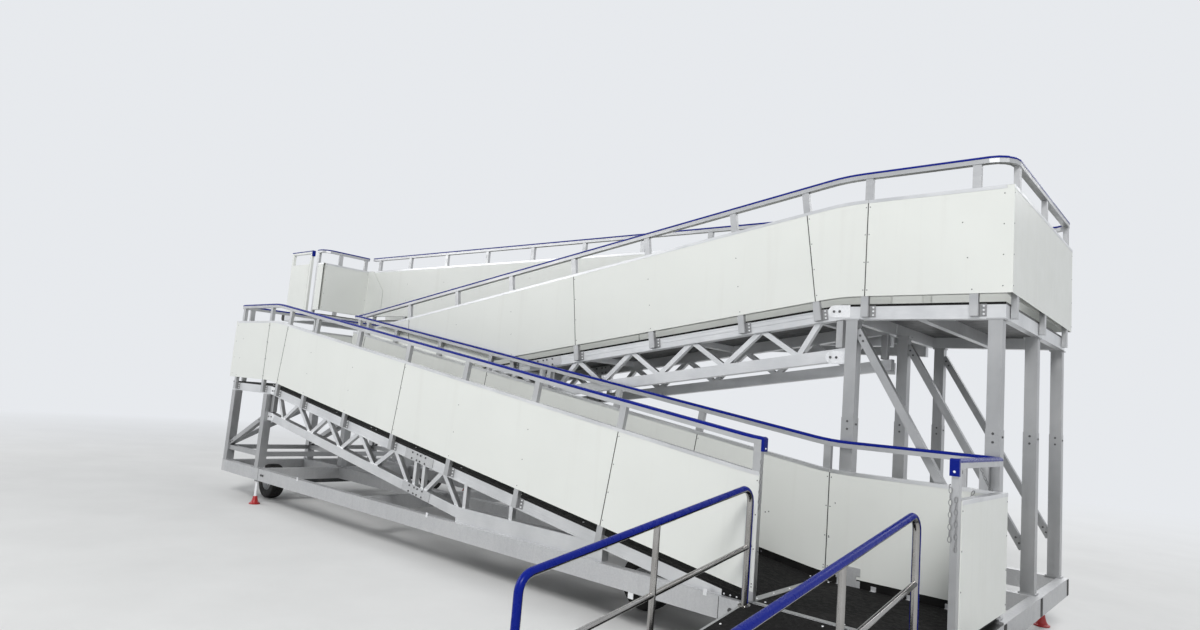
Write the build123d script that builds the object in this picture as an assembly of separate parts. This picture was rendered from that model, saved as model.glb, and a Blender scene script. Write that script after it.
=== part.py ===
from build123d import *
import os
from math import acos, atan, cos, degrees, pi, sin, tan

# Step-free boarding ramp: three flights side by side on a wheeled frame.
# +X runs along the flights to the towing end, +Y to the far side, +Z up, ground at zero.

# Walkway levels and lengths
FRAME_TOP = 460.0          # top of the base frame over the ground
DECK = 15.0                # thickness of the walking plates
LOW_RISE = 1075.0          # entrance landing to turning landing
MID_RISE = 1110.0          # turning landing to top landing
TOP_RISE = 80.0            # top landing to door platform
RUN = 7250.0               # level length of the two lower flights
BRIDGE_RUN = 9080.0        # level length of the top flight
LANE = 1190.0              # pitch of the three lanes
END_LENGTH = 1255.0        # entrance and top landings, along X
TURN_LENGTH = 1220.0       # turning landing, along X
CAB_LENGTH = 1112.0        # door platform, along X
CAB_REACH = 860.0          # door platform beyond the near side of its lane
ENTRY_RUN = 2975.0         # level length of the entry ramp
ENTRY_WIDTH = 1135.0

# Beams and decks
BEAM_W = 80.0              # base frame beams
BEAM_H = 150.0
STRINGER_W = 80.0          # walkway stringers, also the lower truss chords
STRINGER_H = 105.0
BEARER_W = 40.0            # cross bearers under the flights
BEARER_H = 60.0
COLUMN = 100.0             # tower columns and trestle posts
COLUMN_TOP = 94.0          # upper tube of a tower column
COLUMN_JOINT = 1750.0      # where the upper tube starts
FLANGE = 12.0
BRACE = 60.0
BRIDGE_BEAM_H = 200.0

# Lattice girders, measured from a flight's high end
TRUSS_DEPTH = 350.0        # deck level to the top of the lower chord
CHORD_H = 100.0
LACING = 45.0
LACING_START = 380.0       # first lower joint
LACING_BAY = 724.0
LACING_COUNT = 8           # joints before the splice
LEVEL_H = 140.0            # level part of the low flight's girder
UPRIGHTS = (84.0, 734.0, 1800.0)
SPLICE = 3378.0            # middle of the splice
SPLICE_HALF = 73.0         # to each of its two uprights

# Side walls and rails
SKIN = 4.0                 # wall skins
PANEL_GAP = 62.0           # deck level to the lower edge of a wall
PANEL_H = 790.0
SEAM = 3.0                 # open joint between wall panels
LANDING_PANEL = 195.0      # bent wall panel round a flight's high end, on the landing
SHORT_PANEL = 210.0        # and on the flight
FIRST_SPLIT = 2900.0       # further wall joints from a flight's high end, at posts
SECOND_SPLIT = 5870.0
BEND = 150.0               # half length of the rounded bends of walls and rails
POST_W = 60.0              # rail posts along the walkway
POST_D = 40.0              # rail posts across it
SECOND_POST = 920.0        # posts from a flight's high end; the first is at the short panel
POST_PITCH = 990.0
POST_FOOT = 103.0          # deck level down to a post's foot
RAIL_TOP = 1090.0          # top of the rail over the deck
RAIL_W = 50.0
RAIL_H = 34.0              # metal bar of the rail
SLEEVE_W = 54.0            # coloured sleeve on the bar
SLEEVE_H = 22.0
CAP_DROP = 100.0           # sleeve's end turned down over a post
RAIL_BEND = 150.0          # rails round a corner, in plan
RAIL_LEAD = 10.0
CHORDS = 4                 # straight pieces in each bend
SIDE_GAP = 5.0             # between a lane's line and its wall
END_GAP = 100.0            # between wall ends that tilt against each other
COVER_LENGTH = 500.0       # plates that cover those gaps

# Running gear
WHEEL_R = 230.0
SIDES = 40                 # flats round wheels and rings
TYRE_W = 170.0
TREAD_W = 110.0
SHOULDER = 25.0
RIM_R = 120.0
RIM_W = 150.0
RIM_T = 12.0
DISC_IN = 20.0             # wheel disc from the middle of the rim
HUB_R = 52.0
HUB_OUT = 60.0
STUB_R = 25.0
REAR_TRACK = 2686.0
FRONT_TRACK = 2208.0
AXLE = 80.0
AXLE_END = 15.0            # axle beam's end to the tyre's side
REAR_AXLE_IN = 615.0       # rear axle from the frame's low end
STEER_AXLE_IN = 1357.0     # steering axle from the foot of the low flight
TOW_FRAME = 3000.0         # steering axle to the drawbar's hinge
DRAWBAR = 650.0            # hinge to the centre of the tow eye
BAR_HALF = 35.0
EYE_R = 50.0
EYE_BORE_R = 25.0
TOW_PIN_R = 15.0
RING_R = 300.0
RING_T = 20.0
KING_R = 40.0
JACK_LEG_R = 20.0
JACK_FOOT_R = 70.0
JACK_FOOT_H = 100.0
JACK_RIM = 12.0
JACK_SIDES = 20
JACK_TRAVEL = 80.0
RUN_GAP = 0.08             # radial clearance of a running fit
FREE = 0.3                 # clearance between faces of bodies that move

# Lifting frame, hinges and door platform
MAST = 140.0
MAST_TUBE = 120.0
MAST_TOP = 1900.0
MAST_FOOT = 900.0          # lower end of the sliding tubes at rest
MAST_IN = 150.0            # mast centres from the sides of the top flight's lane
LIFT_IN = 507.0            # lifting pin from the frame's low end
HEAD_H = 80.0
PIN_R = 30.0
PIN_DROP = 60.0            # bridge beam to the centre of the lifting pin
BUMPER = 110.0
BUMPER_H = 120.0
HINGE_R = 20.0
HINGE_DROP = 60.0          # deck level to the hinge lines of the top flight
HINGE_IN = 45.0            # hinge lines from the platform edges
HINGE_LUG = 15.0
LUG_HALF = 25.0
SLIDER_LENGTH = 690.0
STRIP_LENGTH = 240.0       # fixed front wall of the door platform

# Entry ramp and its handrails
ENTRY_GAP = 10.0           # entry ramp to the frame's face
ENTRY_SHIFT = 45.0         # entry ramp beyond the foot of the low flight
ENTRY_PIN_IN = 30.0        # hinge line from the frame's face
ENTRY_PIN_DROP = 45.0
ENTRY_PIN_R = 12.0
ENTRY_BEAM = 60.0
ENTRY_DEPTH = 95.0
TOE = 5.0
LOOP_R = 21.0
LOOP_SLEEVE = 3.0
LOOP_H = 770.0
LOOP_KNEE = 380.0
LOOP_NEAR = 75.0           # upper and lower legs from the frame's face
LOOP_FAR = 2150.0
LOOP_BEND = 90.0
LOOP_SIDES = 16

# Places that follow from the sizes above
X_FOOT = (BRIDGE_RUN + CAB_LENGTH + BUMPER + STEER_AXLE_IN - TOW_FRAME - DRAWBAR - EYE_R) / 2
X_END = X_FOOT + END_LENGTH
X_TURN = X_FOOT - RUN
X_LOW_END = X_TURN - TURN_LENGTH
X_CAB = X_FOOT - BRIDGE_RUN
X_CAB_END = X_CAB - CAB_LENGTH
X_FRAME_LOW = X_LOW_END + 150.0
X_REAR = X_FRAME_LOW + REAR_AXLE_IN
X_STEER = X_FOOT - STEER_AXLE_IN
X_HITCH = X_STEER + TOW_FRAME
X_LIFT = X_FRAME_LOW + LIFT_IN
X_ENTRY = X_FOOT - ENTRY_SHIFT
X_TOWER = X_FOOT + 52.0
Y_NEAR = (ENTRY_RUN - 3 * LANE) / 2
LINES = [Y_NEAR + i * LANE for i in range(4)]
Y_MID = Y_NEAR + 1.5 * LANE
Y_CAB = LINES[2] - CAB_REACH
FRAME_LOW = FRAME_TOP - BEAM_H
Z_ENTRY = FRAME_TOP + DECK
Z_TURN = Z_ENTRY + LOW_RISE
Z_TOP = Z_TURN + MID_RISE
Z_CAB = Z_TOP + TOP_RISE
WALL_T = 2 * SKIN + POST_D
WALL_MID = SKIN + POST_D / 2
STRINGER_IN = SIDE_GAP + SKIN + POST_D
ROWS = [LINES[0] + COLUMN / 2, LINES[1] + COLUMN / 2, LINES[2] + COLUMN / 2, LINES[3] - COLUMN / 2]
MAST_ROWS = (LINES[2] + MAST_IN, LINES[3] - MAST_IN)
JACKS = [(x, y) for x in (X_TURN - 40, X_END - 200) for y in (LINES[0] + BEAM_W / 2, LINES[3] - BEAM_W / 2)]
HINGES = ((X_FOOT - HINGE_IN, Z_TOP - HINGE_DROP), (X_CAB + HINGE_IN, Z_CAB - HINGE_DROP))


def block(x0, x1, y0, y1, z0, z1):
    """Box between two corners, given in any order."""
    centre = Pos((x0 + x1) / 2, (y0 + y1) / 2, (z0 + z1) / 2)
    return centre * Box(abs(x1 - x0), abs(y1 - y0), abs(z1 - z0))


def slab(points, y0, y1):
    """Outline given as (x, z), from y0 to y1."""
    outline = Polyline([(x, y0, z) for x, z in points], close=True)
    return extrude(make_face(outline), amount=y1 - y0, dir=(0, 1, 0))


def slab_x(points, x0, x1):
    """Outline given as (y, z), from x0 to x1."""
    outline = Polyline([(x0, y, z) for y, z in points], close=True)
    return extrude(make_face(outline), amount=x1 - x0, dir=(1, 0, 0))


def strut(start, end, width, depth):
    """Straight bar between two points, its width level and its depth in the upright plane."""
    run = Vector(*end) - Vector(*start)
    across = Vector(0, 0, 1).cross(run)
    if across.length < 1:
        across = Vector(0, 1, 0)
    place = Plane(origin=start, x_dir=across, z_dir=run)
    return place * Pos(0, 0, run.length / 2) * Box(width, depth, run.length)


def rod(start, end, radius):
    """Round bar between two points."""
    run = Vector(*end) - Vector(*start)
    place = Plane(origin=start, z_dir=run)
    return place * Pos(0, 0, run.length / 2) * Cylinder(radius, run.length)


def faceted(start, z_dir, length, r0, r1, sides):
    """Many-sided bar from a point, tapered from one radius to another over its length."""
    place = Plane(origin=start, x_dir=(1, 0, 0), z_dir=z_dir)
    taper = degrees(atan((r0 - r1) * cos(pi / sides) / length))
    return extrude(place * RegularPolygon(r0, sides), amount=length, taper=taper)


def prism(x, y, z0, z1, r0, r1, sides):
    """Upright many-sided block."""
    return faceted((x, y, z0), (0, 0, 1), z1 - z0, r0, r1, sides)


def bent(points, radius):
    """Points of a path whose corners are rounded off with a few chords."""
    path = [Vector(*points[0])]
    for start, middle, end in zip(points, points[1:], points[2:]):
        go = (Vector(*middle) - Vector(*start)).normalized()
        leave = (Vector(*end) - Vector(*middle)).normalized()
        turn = acos(go.dot(leave))
        aside = (leave - go * cos(turn)) * (1 / sin(turn))
        first = Vector(*middle) - go * (radius * tan(turn / 2))
        for i in range(CHORDS + 1):
            part = turn * i / CHORDS
            path.append(first + go * (radius * sin(part)) + aside * (radius * (1 - cos(part))))
    return path + [Vector(*points[-1])]


def swept(outline, path, x_dir):
    """Outline given as (across, up), swept along straight pieces with mitred joints."""
    line = Polyline(path)
    place = Plane(origin=path[0], x_dir=x_dir, z_dir=path[1] - path[0])
    return sweep(place * make_face(Polyline(outline, close=True)), path=line, transition=Transition.RIGHT)


def write(name, solids):
    """One STEP file for a named piece."""
    pieces = []
    for item in solids:
        pieces.extend(item.solids())
    shape = pieces[0] if len(pieces) == 1 else Compound(children=pieces)
    export_step(shape, f"parts/{name}.step")


def spaced(start, end, pitch):
    """Even places from start to end, about the pitch apart."""
    count = max(1, round(abs(end - start) / pitch))
    return [start + (end - start) * i / count for i in range(count + 1)]


# Walkway levels


class Walk:
    """A walkway's level along X: level, one slope, level again."""

    def __init__(self, x_low, z_low, x_high, z_high):
        self.x_low, self.z_low = x_low, z_low
        self.left, self.right = min(x_low, x_high), max(x_low, x_high)
        self.slope = (z_high - z_low) / (x_high - x_low)
        self.lean = atan(self.slope)

    def z(self, x):
        """Deck level at x."""
        x = max(self.left, min(self.right, x))
        return self.z_low + self.slope * (x - self.x_low)

    def soft(self, x):
        """Level at x with both bends rounded, as walls and rails follow it."""
        level = self.z(x)
        for bend, turn in ((self.left, self.slope), (self.right, -self.slope)):
            near = max(0.0, BEND - abs(x - bend))
            level += turn * near ** 2 / (4 * BEND)
        return level

    def places(self, x0, x1):
        """Places from x0 to x1 between which a rounded line is straight."""
        steps = [bend + BEND * i / 2 for bend in (self.left, self.right) for i in range(-2, 3)]
        return [x0] + [x for x in steps if x0 + 1 < x < x1 - 1] + [x1]

    def band(self, x0, x1, low, high):
        """Outline between two heights over the deck, upright at both ends."""
        xs = [x0] + [x for x in (self.left, self.right) if x0 < x < x1] + [x1]
        under = [(x, self.z(x) + low) for x in xs]
        over = [(x, self.z(x) + high) for x in reversed(xs)]
        return under + over

    def wall(self, x0, x1, square0, square1):
        """Outline of a wall panel; a square end stands square to the slope."""
        xs = self.places(x0, x1)
        top = PANEL_GAP + PANEL_H
        under = [(x, self.soft(x) + PANEL_GAP) for x in xs]
        over = [(x, self.soft(x) + top) for x in reversed(xs)]
        shift = -sin(self.lean) * cos(self.lean)
        if square1:
            under[-1] = self.corner(x1 + shift * PANEL_GAP, PANEL_GAP)
            over[0] = self.corner(x1 + shift * top, top)
        if square0:
            under[0] = self.corner(x0 + shift * PANEL_GAP, PANEL_GAP)
            over[-1] = self.corner(x0 + shift * top, top)
        return under + over

    def corner(self, x, height):
        """Point at a height over the rounded line."""
        return x, self.soft(x) + height

    def bar(self, x, width, low, high):
        """Outline of a bar at x, square to the slope but upright at its ends and on the level."""
        sloping = self.left + 2 * POST_W < x < self.right - 2 * POST_W
        lean = self.lean if sloping else 0.0
        corners = ((-width / 2, low), (width / 2, low), (width / 2, high), (-width / 2, high))
        outline = []
        for along, up in corners:
            up = up * cos(lean)
            x_point = x + along * cos(lean) - up * sin(lean)
            outline.append((x_point, self.z(x) + along * sin(lean) + up * cos(lean)))
        return outline


LOW = Walk(X_FOOT, Z_ENTRY, X_TURN, Z_TURN)
MID = Walk(X_TURN, Z_TURN, X_FOOT, Z_TOP)
TOP = Walk(X_FOOT, Z_TOP, X_CAB, Z_CAB)
CAB = Walk(X_CAB, Z_CAB, X_CAB_END, Z_CAB)


# Side walls, rails and their sleeves


def side(line, outward):
    """Outer faces of a side wall on a lane's line."""
    outer = line - outward * SIDE_GAP
    inner = outer - outward * WALL_T
    return min(outer, inner), max(outer, inner)


def wall_along(walk, x0, x1, line, outward, posts, square=(False, False)):
    """Hollow side wall along X: two skins under a cap, notched for its posts."""
    y0, y1 = side(line, outward)
    outline = walk.wall(x0, x1, *square)
    body = slab(outline, y0, y1)
    body = body - slab([(x, z - SKIN) for x, z in outline], y0 + SKIN, y1 - SKIN)
    for x in posts:
        if x0 - 2 * POST_W < x < x1 + 4 * POST_W:
            notch = walk.bar(x, POST_W, 0, PANEL_GAP + PANEL_H + POST_W)
            body = body - slab(notch, y0 + SKIN, y1 - SKIN)
    return body


def wall_across(x, inward, y0, y1, deck, posts):
    """Hollow end wall along Y, its outer face at x, notched for its posts."""
    low, high = deck + PANEL_GAP, deck + PANEL_GAP + PANEL_H
    outer, inner = x + inward * SKIN, x + inward * (SKIN + POST_D)
    body = block(x, x + inward * WALL_T, y0, y1, low, high)
    body = body - block(outer, inner, y0 + SKIN, y1 - SKIN, low, high - SKIN)
    for y in posts:
        body = body - block(outer, inner, y - POST_W / 2, y + POST_W / 2, low, high)
    return body


def carried(profile, walk, places):
    """Profile given as (y, z over the deck), carried along a walkway with upright ends."""
    body = None
    for xa, xb in zip(places, places[1:]):
        step = Vector(xb - xa, 0, walk.soft(xb) - walk.soft(xa))
        start = Polyline([(xa, y, walk.soft(xa) + z) for y, z in profile], close=True)
        piece = extrude(make_face(start), amount=step.length, dir=step)
        body = piece if body is None else body + piece
    return body


def bar_profile(mid):
    """Metal bar of a rail: (across, height over the deck)."""
    high = RAIL_TOP - SLEEVE_H
    low = high - RAIL_H
    y0, y1 = mid - RAIL_W / 2, mid + RAIL_W / 2
    return [(y0, low), (y1, low), (y1, high), (y0, high)]


def sleeve_profile(mid):
    """Sleeve on top of the bar, with rounded shoulders."""
    low, half = RAIL_TOP - SLEEVE_H, SLEEVE_W / 2
    shape = ((half, 0), (half, 0.5), (0.7 * half, 0.86), (0.3 * half, 1))
    right = [(mid + a, low + b * SLEEVE_H) for a, b in shape]
    left = [(mid - a, low + b * SLEEVE_H) for a, b in reversed(shape)]
    return right + left


def rail_along(walk, x0, x1, line, outward, posts, foot=POST_FOOT, sleeves=None):
    """Bar of a rail over a side wall and its posts; its sleeve goes to the list of sleeves."""
    mid = sum(side(line, outward)) / 2
    places = walk.places(x0, x1)
    bar = carried(bar_profile(mid), walk, places)
    solids = [bar]
    ground = block(x0 - BEND, x1 + BEND, mid - POST_D, mid + POST_D, 0, FRAME_TOP)
    for x in posts:
        eased = abs(walk.soft(x) - walk.z(x)) > 0.01
        top = RAIL_TOP - SLEEVE_H - (RAIL_H / 2 if eased else RAIL_H)
        post = slab(walk.bar(x, POST_W, -foot, top), mid - POST_D / 2, mid + POST_D / 2)
        solids.append(post - bar - ground)
    sleeves.append(carried(sleeve_profile(mid), walk, places))
    return solids


def rail_across(x, inward, y0, y1, deck, posts, foot=POST_FOOT, sleeves=None):
    """Bar of a rail over an end wall and its posts; its sleeve goes to the list of sleeves."""
    mid = x + inward * WALL_MID
    bar = slab([(a, deck + z) for a, z in bar_profile(mid)], y0, y1)
    solids = [bar]
    top = deck + RAIL_TOP - SLEEVE_H - RAIL_H
    for y in posts:
        post = block(mid - POST_D / 2, mid + POST_D / 2, y - POST_W / 2, y + POST_W / 2, deck - foot, top)
        solids.append(post)
    sleeves.append(slab([(a, deck + z) for a, z in sleeve_profile(mid)], y0, y1))
    return solids


def rail_corner(x, inward, line, outward, deck, sleeves):
    """Bar of a rail round the corner of a landing; its sleeve goes to the list of sleeves."""
    x_mid, y_mid = x + inward * WALL_MID, sum(side(line, outward)) / 2
    reach = RAIL_BEND + RAIL_LEAD
    first, last = (x_mid + inward * reach, y_mid, deck), (x_mid, y_mid - outward * reach, deck)
    path = bent([first, (x_mid, y_mid, deck), last], RAIL_BEND)
    sleeves.append(swept(sleeve_profile(0), path, (0, -inward, 0)))
    return swept(bar_profile(0), path, (0, -inward, 0))


def rail_stop(x, inward):
    """Where the straight rails beside a rounded corner stop, given the outer face of the end wall."""
    return x + inward * (WALL_MID + RAIL_BEND + RAIL_LEAD)


def turned_down(start, way, top):
    """Outline of a sleeve's end turned down over a post: (along, height)."""
    reach = start + way * SLEEVE_H
    near, high = start + way * SLEEVE_H / 2, top - SLEEVE_H / 2
    return [(start, top - CAP_DROP), (reach, top - CAP_DROP), (reach, high), (near, top - 2), (start, top)]


# Base frame, tower and trestles


def base_frame():
    """Long beams with the jack sockets, cross beams, the ring's seat and the mast brackets."""
    longs = [(LINES[0], LINES[0] + BEAM_W)]
    longs += [(y - BEAM_W / 2, y + BEAM_W / 2) for y in (LINES[1], LINES[2])]
    longs += [(LINES[3] - BEAM_W, LINES[3])]
    solids = []
    for y0, y1 in longs:
        beam = block(X_FRAME_LOW, X_END, y0, y1, FRAME_LOW, FRAME_TOP)
        for x, y in JACKS:
            if y0 < y < y1:
                beam = beam - rod((x, y, FRAME_LOW), (x, y, FRAME_TOP - DECK), JACK_LEG_R + FREE)
        solids.append(beam)
    crossings = [X_FRAME_LOW, X_TURN - BEAM_W / 2, X_TURN + RUN / 3, X_TURN + 2 * RUN / 3]
    crossings += [X_FOOT - 500, X_END - BEAM_W]
    for x in crossings:
        for (_, y0), (y1, _) in zip(longs, longs[1:]):
            solids.append(block(x, x + BEAM_W, y0, y1, FRAME_LOW, FRAME_TOP))
    for x in (X_STEER - RING_R + BEAM_W / 2, X_STEER + RING_R - BEAM_W / 2):
        solids.append(block(x - BEAM_W / 2, x + BEAM_W / 2, longs[1][1], longs[2][0], FRAME_LOW, FRAME_TOP))
    seat = prism(X_STEER, Y_MID, FRAME_LOW - RING_T, FRAME_LOW, RING_R, RING_R, SIDES)
    solids.append(seat - rod((X_STEER, Y_MID, FRAME_LOW - RING_T), (X_STEER, Y_MID, FRAME_LOW), KING_R))
    brackets = ((longs[2][1], MAST_ROWS[0] + MAST / 2), (MAST_ROWS[1] - MAST / 2, longs[3][0]))
    for y0, y1 in brackets:
        solids.append(block(X_LIFT - MAST / 2, X_LIFT + MAST / 2, y0, y1, FRAME_LOW, FRAME_TOP))
    return solids + entry_lugs()


def entry_lugs():
    """Lugs on the near beam with the pins that carry the entry ramp."""
    y, z = Y_NEAR - ENTRY_PIN_IN, Z_ENTRY - ENTRY_PIN_DROP
    half = 1.5 * ENTRY_PIN_R
    solids = []
    for x, way in ((X_ENTRY + ENTRY_BEAM, 1), (X_ENTRY + ENTRY_WIDTH - ENTRY_BEAM, -1)):
        far = x + way * (FREE + HINGE_LUG)
        lug = block(x + way * FREE, far, y - half, Y_NEAR, z - half, z + half)
        solids.append(lug + rod((far, y, z), (x - way * (ENTRY_BEAM + FREE), y, z), ENTRY_PIN_R))
    return solids


def tower_row(y):
    """Two columns of the tower, each of two tubes on a foot, tied by a long diagonal."""
    x0, x1 = X_TOWER, X_END - COLUMN - 55
    top = Z_TOP - DECK - STRINGER_H
    solids = []
    for x in (x0, x1):
        middle = x + COLUMN / 2
        for half, low, high in (
            (COLUMN / 2 + 15, FRAME_TOP, FRAME_TOP + FLANGE),
            (COLUMN / 2, FRAME_TOP + FLANGE, COLUMN_JOINT),
            (COLUMN_TOP / 2, COLUMN_JOINT, top - FLANGE),
            (COLUMN / 2 + 10, top - FLANGE, top),
        ):
            depth = min(half, COLUMN / 2)
            solids.append(block(middle - half, middle + half, y - depth, y + depth, low, high))
    brace = strut((x0 + COLUMN - 10, y, top - 90), (x1 + 10, y, FRAME_TOP + 345), BRACE, BRACE)
    for column in solids:
        brace = brace - column
    return solids + [brace]


def trestle(y, y_next):
    """Two posts under the turning landing with a tie and a diagonal, and braces to the next row."""
    x0, x1 = X_FRAME_LOW + 10, X_TURN - COLUMN
    top = Z_TURN - DECK - STRINGER_H
    low = FRAME_TOP + 150
    posts = [block(x, x + COLUMN, y - COLUMN / 2, y + COLUMN / 2, FRAME_TOP, top) for x in (x0, x1)]
    tie = block(x0 + COLUMN, x1, y - BRACE / 2, y + BRACE / 2, low, low + BRACE)
    brace = strut((x0 + COLUMN - 20, y, low + 80), (x1 + 20, y, top - 310), BRACE, BRACE)
    solids = posts + [tie, brace - posts[0] - posts[1] - tie]
    if y_next is None:
        return solids
    ya, yb = y + COLUMN / 2, y_next - COLUMN / 2
    for x in (x0, x1):
        middle = x + COLUMN / 2
        solids.append(block(middle - BRACE / 2, middle + BRACE / 2, ya, yb, low, low + BRACE))
    middle = x0 + COLUMN / 2
    cross = strut((middle, ya, low + BRACE + 40), (middle, yb, top - 170), BRACE, BRACE)
    ends = block(x0, x0 + COLUMN, ya - COLUMN, ya, 0, top) + block(x0, x0 + COLUMN, yb, yb + COLUMN, 0, top)
    solids.append(cross - ends)
    return solids


# Decks and girders


def landing_deck(x0, x1, y0, y1, deck):
    """Walking plate of a landing on its edge beams and bearers."""
    low, high = deck - DECK - STRINGER_H, deck - DECK
    ya, yb = y0 + STRINGER_IN, y1 - STRINGER_IN
    solids = [block(x0, x1, ya, yb, high, deck)]
    for y in (ya, yb - STRINGER_W):
        solids.append(block(x0, x1, y, y + STRINGER_W, low, high))
    for x in (x0, (x0 + x1 - BRACE) / 2, x1 - BRACE):
        solids.append(block(x, x + BRACE, ya + STRINGER_W, yb - STRINGER_W, low, high))
    return solids


def flight_deck(walk, lane):
    """Sloping plate on two stringers with bearers between them, cut off at the base frame."""
    ya, yb = LINES[lane] + STRINGER_IN, LINES[lane + 1] - STRINGER_IN
    x0, x1 = walk.left, walk.right
    frame = block(x0 - 1, x1 + 1, ya - 1, yb + 1, 0, FRAME_TOP)
    beam = slab(walk.band(x0, x1, -DECK - STRINGER_H, -DECK), ya, ya + STRINGER_W) - frame
    solids = [slab(walk.band(x0, x1, -DECK, 0), ya, yb), beam, Pos(0, yb - ya - STRINGER_W, 0) * beam]
    for x in spaced(x0 + 300, x1 - 300, 2 * LACING_BAY):
        low = -DECK - BEARER_H
        outline = walk.band(x - BEARER_W / 2, x + BEARER_W / 2, low, -DECK)
        bearer = slab(outline, ya + STRINGER_W, yb - STRINGER_W)
        solids.append(bearer - frame)
    return solids


def truss(walk, high_end, way, x_far, lane, near, floor):
    """Lower chord and lacing under one stringer, from the flight's high end to x_far."""
    edge = LINES[lane] + STRINGER_IN if near else LINES[lane + 1] - STRINGER_IN - STRINGER_W
    mid = edge + STRINGER_W / 2

    def chord_top(x):
        return max(walk.z(x) - TRUSS_DEPTH, floor + LEVEL_H)

    def beam_low(x):
        return walk.z(x) - DECK - STRINGER_H

    x_near = X_TOWER if way < 0 else X_TURN
    ends = sorted((x_near, x_far))
    knee = walk.x_low + (floor + TRUSS_DEPTH + LEVEL_H - walk.z_low) / walk.slope
    xs = [ends[0]] + [knee] * (ends[0] < knee < ends[1]) + [ends[1]]
    over = [(x, chord_top(x)) for x in xs]
    under = [(x, z - CHORD_H) for x, z in over]
    if len(xs) == 3:
        under = [under[0], under[1], (knee, floor), (ends[1], floor)]
    girder = slab(under + over[::-1], edge, edge + STRINGER_W)
    for a, b in lacing(abs(knee - high_end), abs(x_far - high_end)):
        low = (high_end + way * a, mid, chord_top(high_end + way * a) - LACING / 2)
        high = (high_end + way * b, mid, beam_low(high_end + way * b) + LACING / 2)
        if high[2] - low[2] > 3 * LACING:
            girder = girder + strut(low, high, LACING, LACING)
    ceiling = walk.band(ends[0] - BEND, ends[1] + BEND, -DECK - STRINGER_H, 0)
    floor_z = min(z for _, z in under)
    bottom = [(x, floor_z - 2 * CHORD_H) for x in (ends[1], ends[0])]
    below = slab(under + bottom, edge, edge + STRINGER_W)
    return girder - slab(ceiling, edge - 1, edge + STRINGER_W + 1) - below


def lacing(knee, end):
    """Lacing members as (lower joint, upper joint), measured from a flight's high end."""
    half = LACING_BAY / 2
    joints = [LACING_START + half * i for i in range(LACING_COUNT)]
    joints.append(SPLICE - 2.5 * SPLICE_HALF)
    members = [(LACING_START, LACING_START - half / 2)]
    members += [(a, b) if i % 2 == 0 else (b, a) for i, (a, b) in enumerate(zip(joints, joints[1:]))]
    members += [(SPLICE + way * SPLICE_HALF, SPLICE + way * SPLICE_HALF) for way in (-1, 1)]
    start = SPLICE + 1.5 * SPLICE_HALF
    stop = min(knee, end - half) if knee > start else end - half
    joints = spaced(start, stop, half)
    if len(joints) % 2 == 0:
        joints = spaced(start, stop, (stop - start) / len(joints))
    members += [(a, b) if i % 2 == 0 else (b, a) for i, (a, b) in enumerate(zip(joints, joints[1:]))]
    return members + [(knee + step, knee + step) for step in UPRIGHTS if start < knee < end - step - LACING]


# Running gear


def drum(x, y0, y1, r0, r1):
    """Many-sided disc about a wheel's axis."""
    way = 1 if y1 > y0 else -1
    return faceted((x, y0, WHEEL_R), (0, way, 0), abs(y1 - y0), r0, r1, SIDES)


def tyre_and_rim(x, y, outward):
    """Tyre with bevelled shoulders and dished rim of one wheel, its axis along Y."""
    tyre = drum(x, y - TREAD_W / 2, y + TREAD_W / 2, WHEEL_R, WHEEL_R)
    for way in (-1, 1):
        tyre = tyre + drum(x, y + way * TREAD_W / 2, y + way * TYRE_W / 2, WHEEL_R, WHEEL_R - SHOULDER)
    tyre = tyre - drum(x, y - TYRE_W / 2, y + TYRE_W / 2, RIM_R, RIM_R)
    rim = drum(x, y - RIM_W / 2, y + RIM_W / 2, RIM_R, RIM_R)
    for start, end in ((-RIM_W / 2, DISC_IN), (DISC_IN + RIM_T, RIM_W / 2)):
        rim = rim - drum(x, y + outward * start, y + outward * end, RIM_R - RIM_T, RIM_R - RIM_T)
    ends = [(x, y + outward * t, WHEEL_R) for t in (-RIM_W / 2, HUB_OUT)]
    return tyre, rim + rod(*ends, HUB_R) - rod(*ends, STUB_R + RUN_GAP)


def axle_beam(x, track):
    """Square axle with its round stubs."""
    half = track / 2 - TYRE_W / 2 - AXLE_END
    z0, z1 = WHEEL_R - AXLE / 2, WHEEL_R + AXLE / 2
    body = block(x - AXLE / 2, x + AXLE / 2, Y_MID - half, Y_MID + half, z0, z1)
    reach = half + AXLE_END + TYRE_W + 5
    return body + rod((x, Y_MID - reach, WHEEL_R), (x, Y_MID + reach, WHEEL_R), STUB_R)


def rear_axle():
    """Fixed axle under the low end with its hangers."""
    body = axle_beam(X_REAR, REAR_TRACK)
    for y in (LINES[1], LINES[2]):
        body = body + block(X_REAR - 60, X_REAR + 60, y - 30, y + 30, WHEEL_R + AXLE / 2, FRAME_LOW)
    return body


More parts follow.
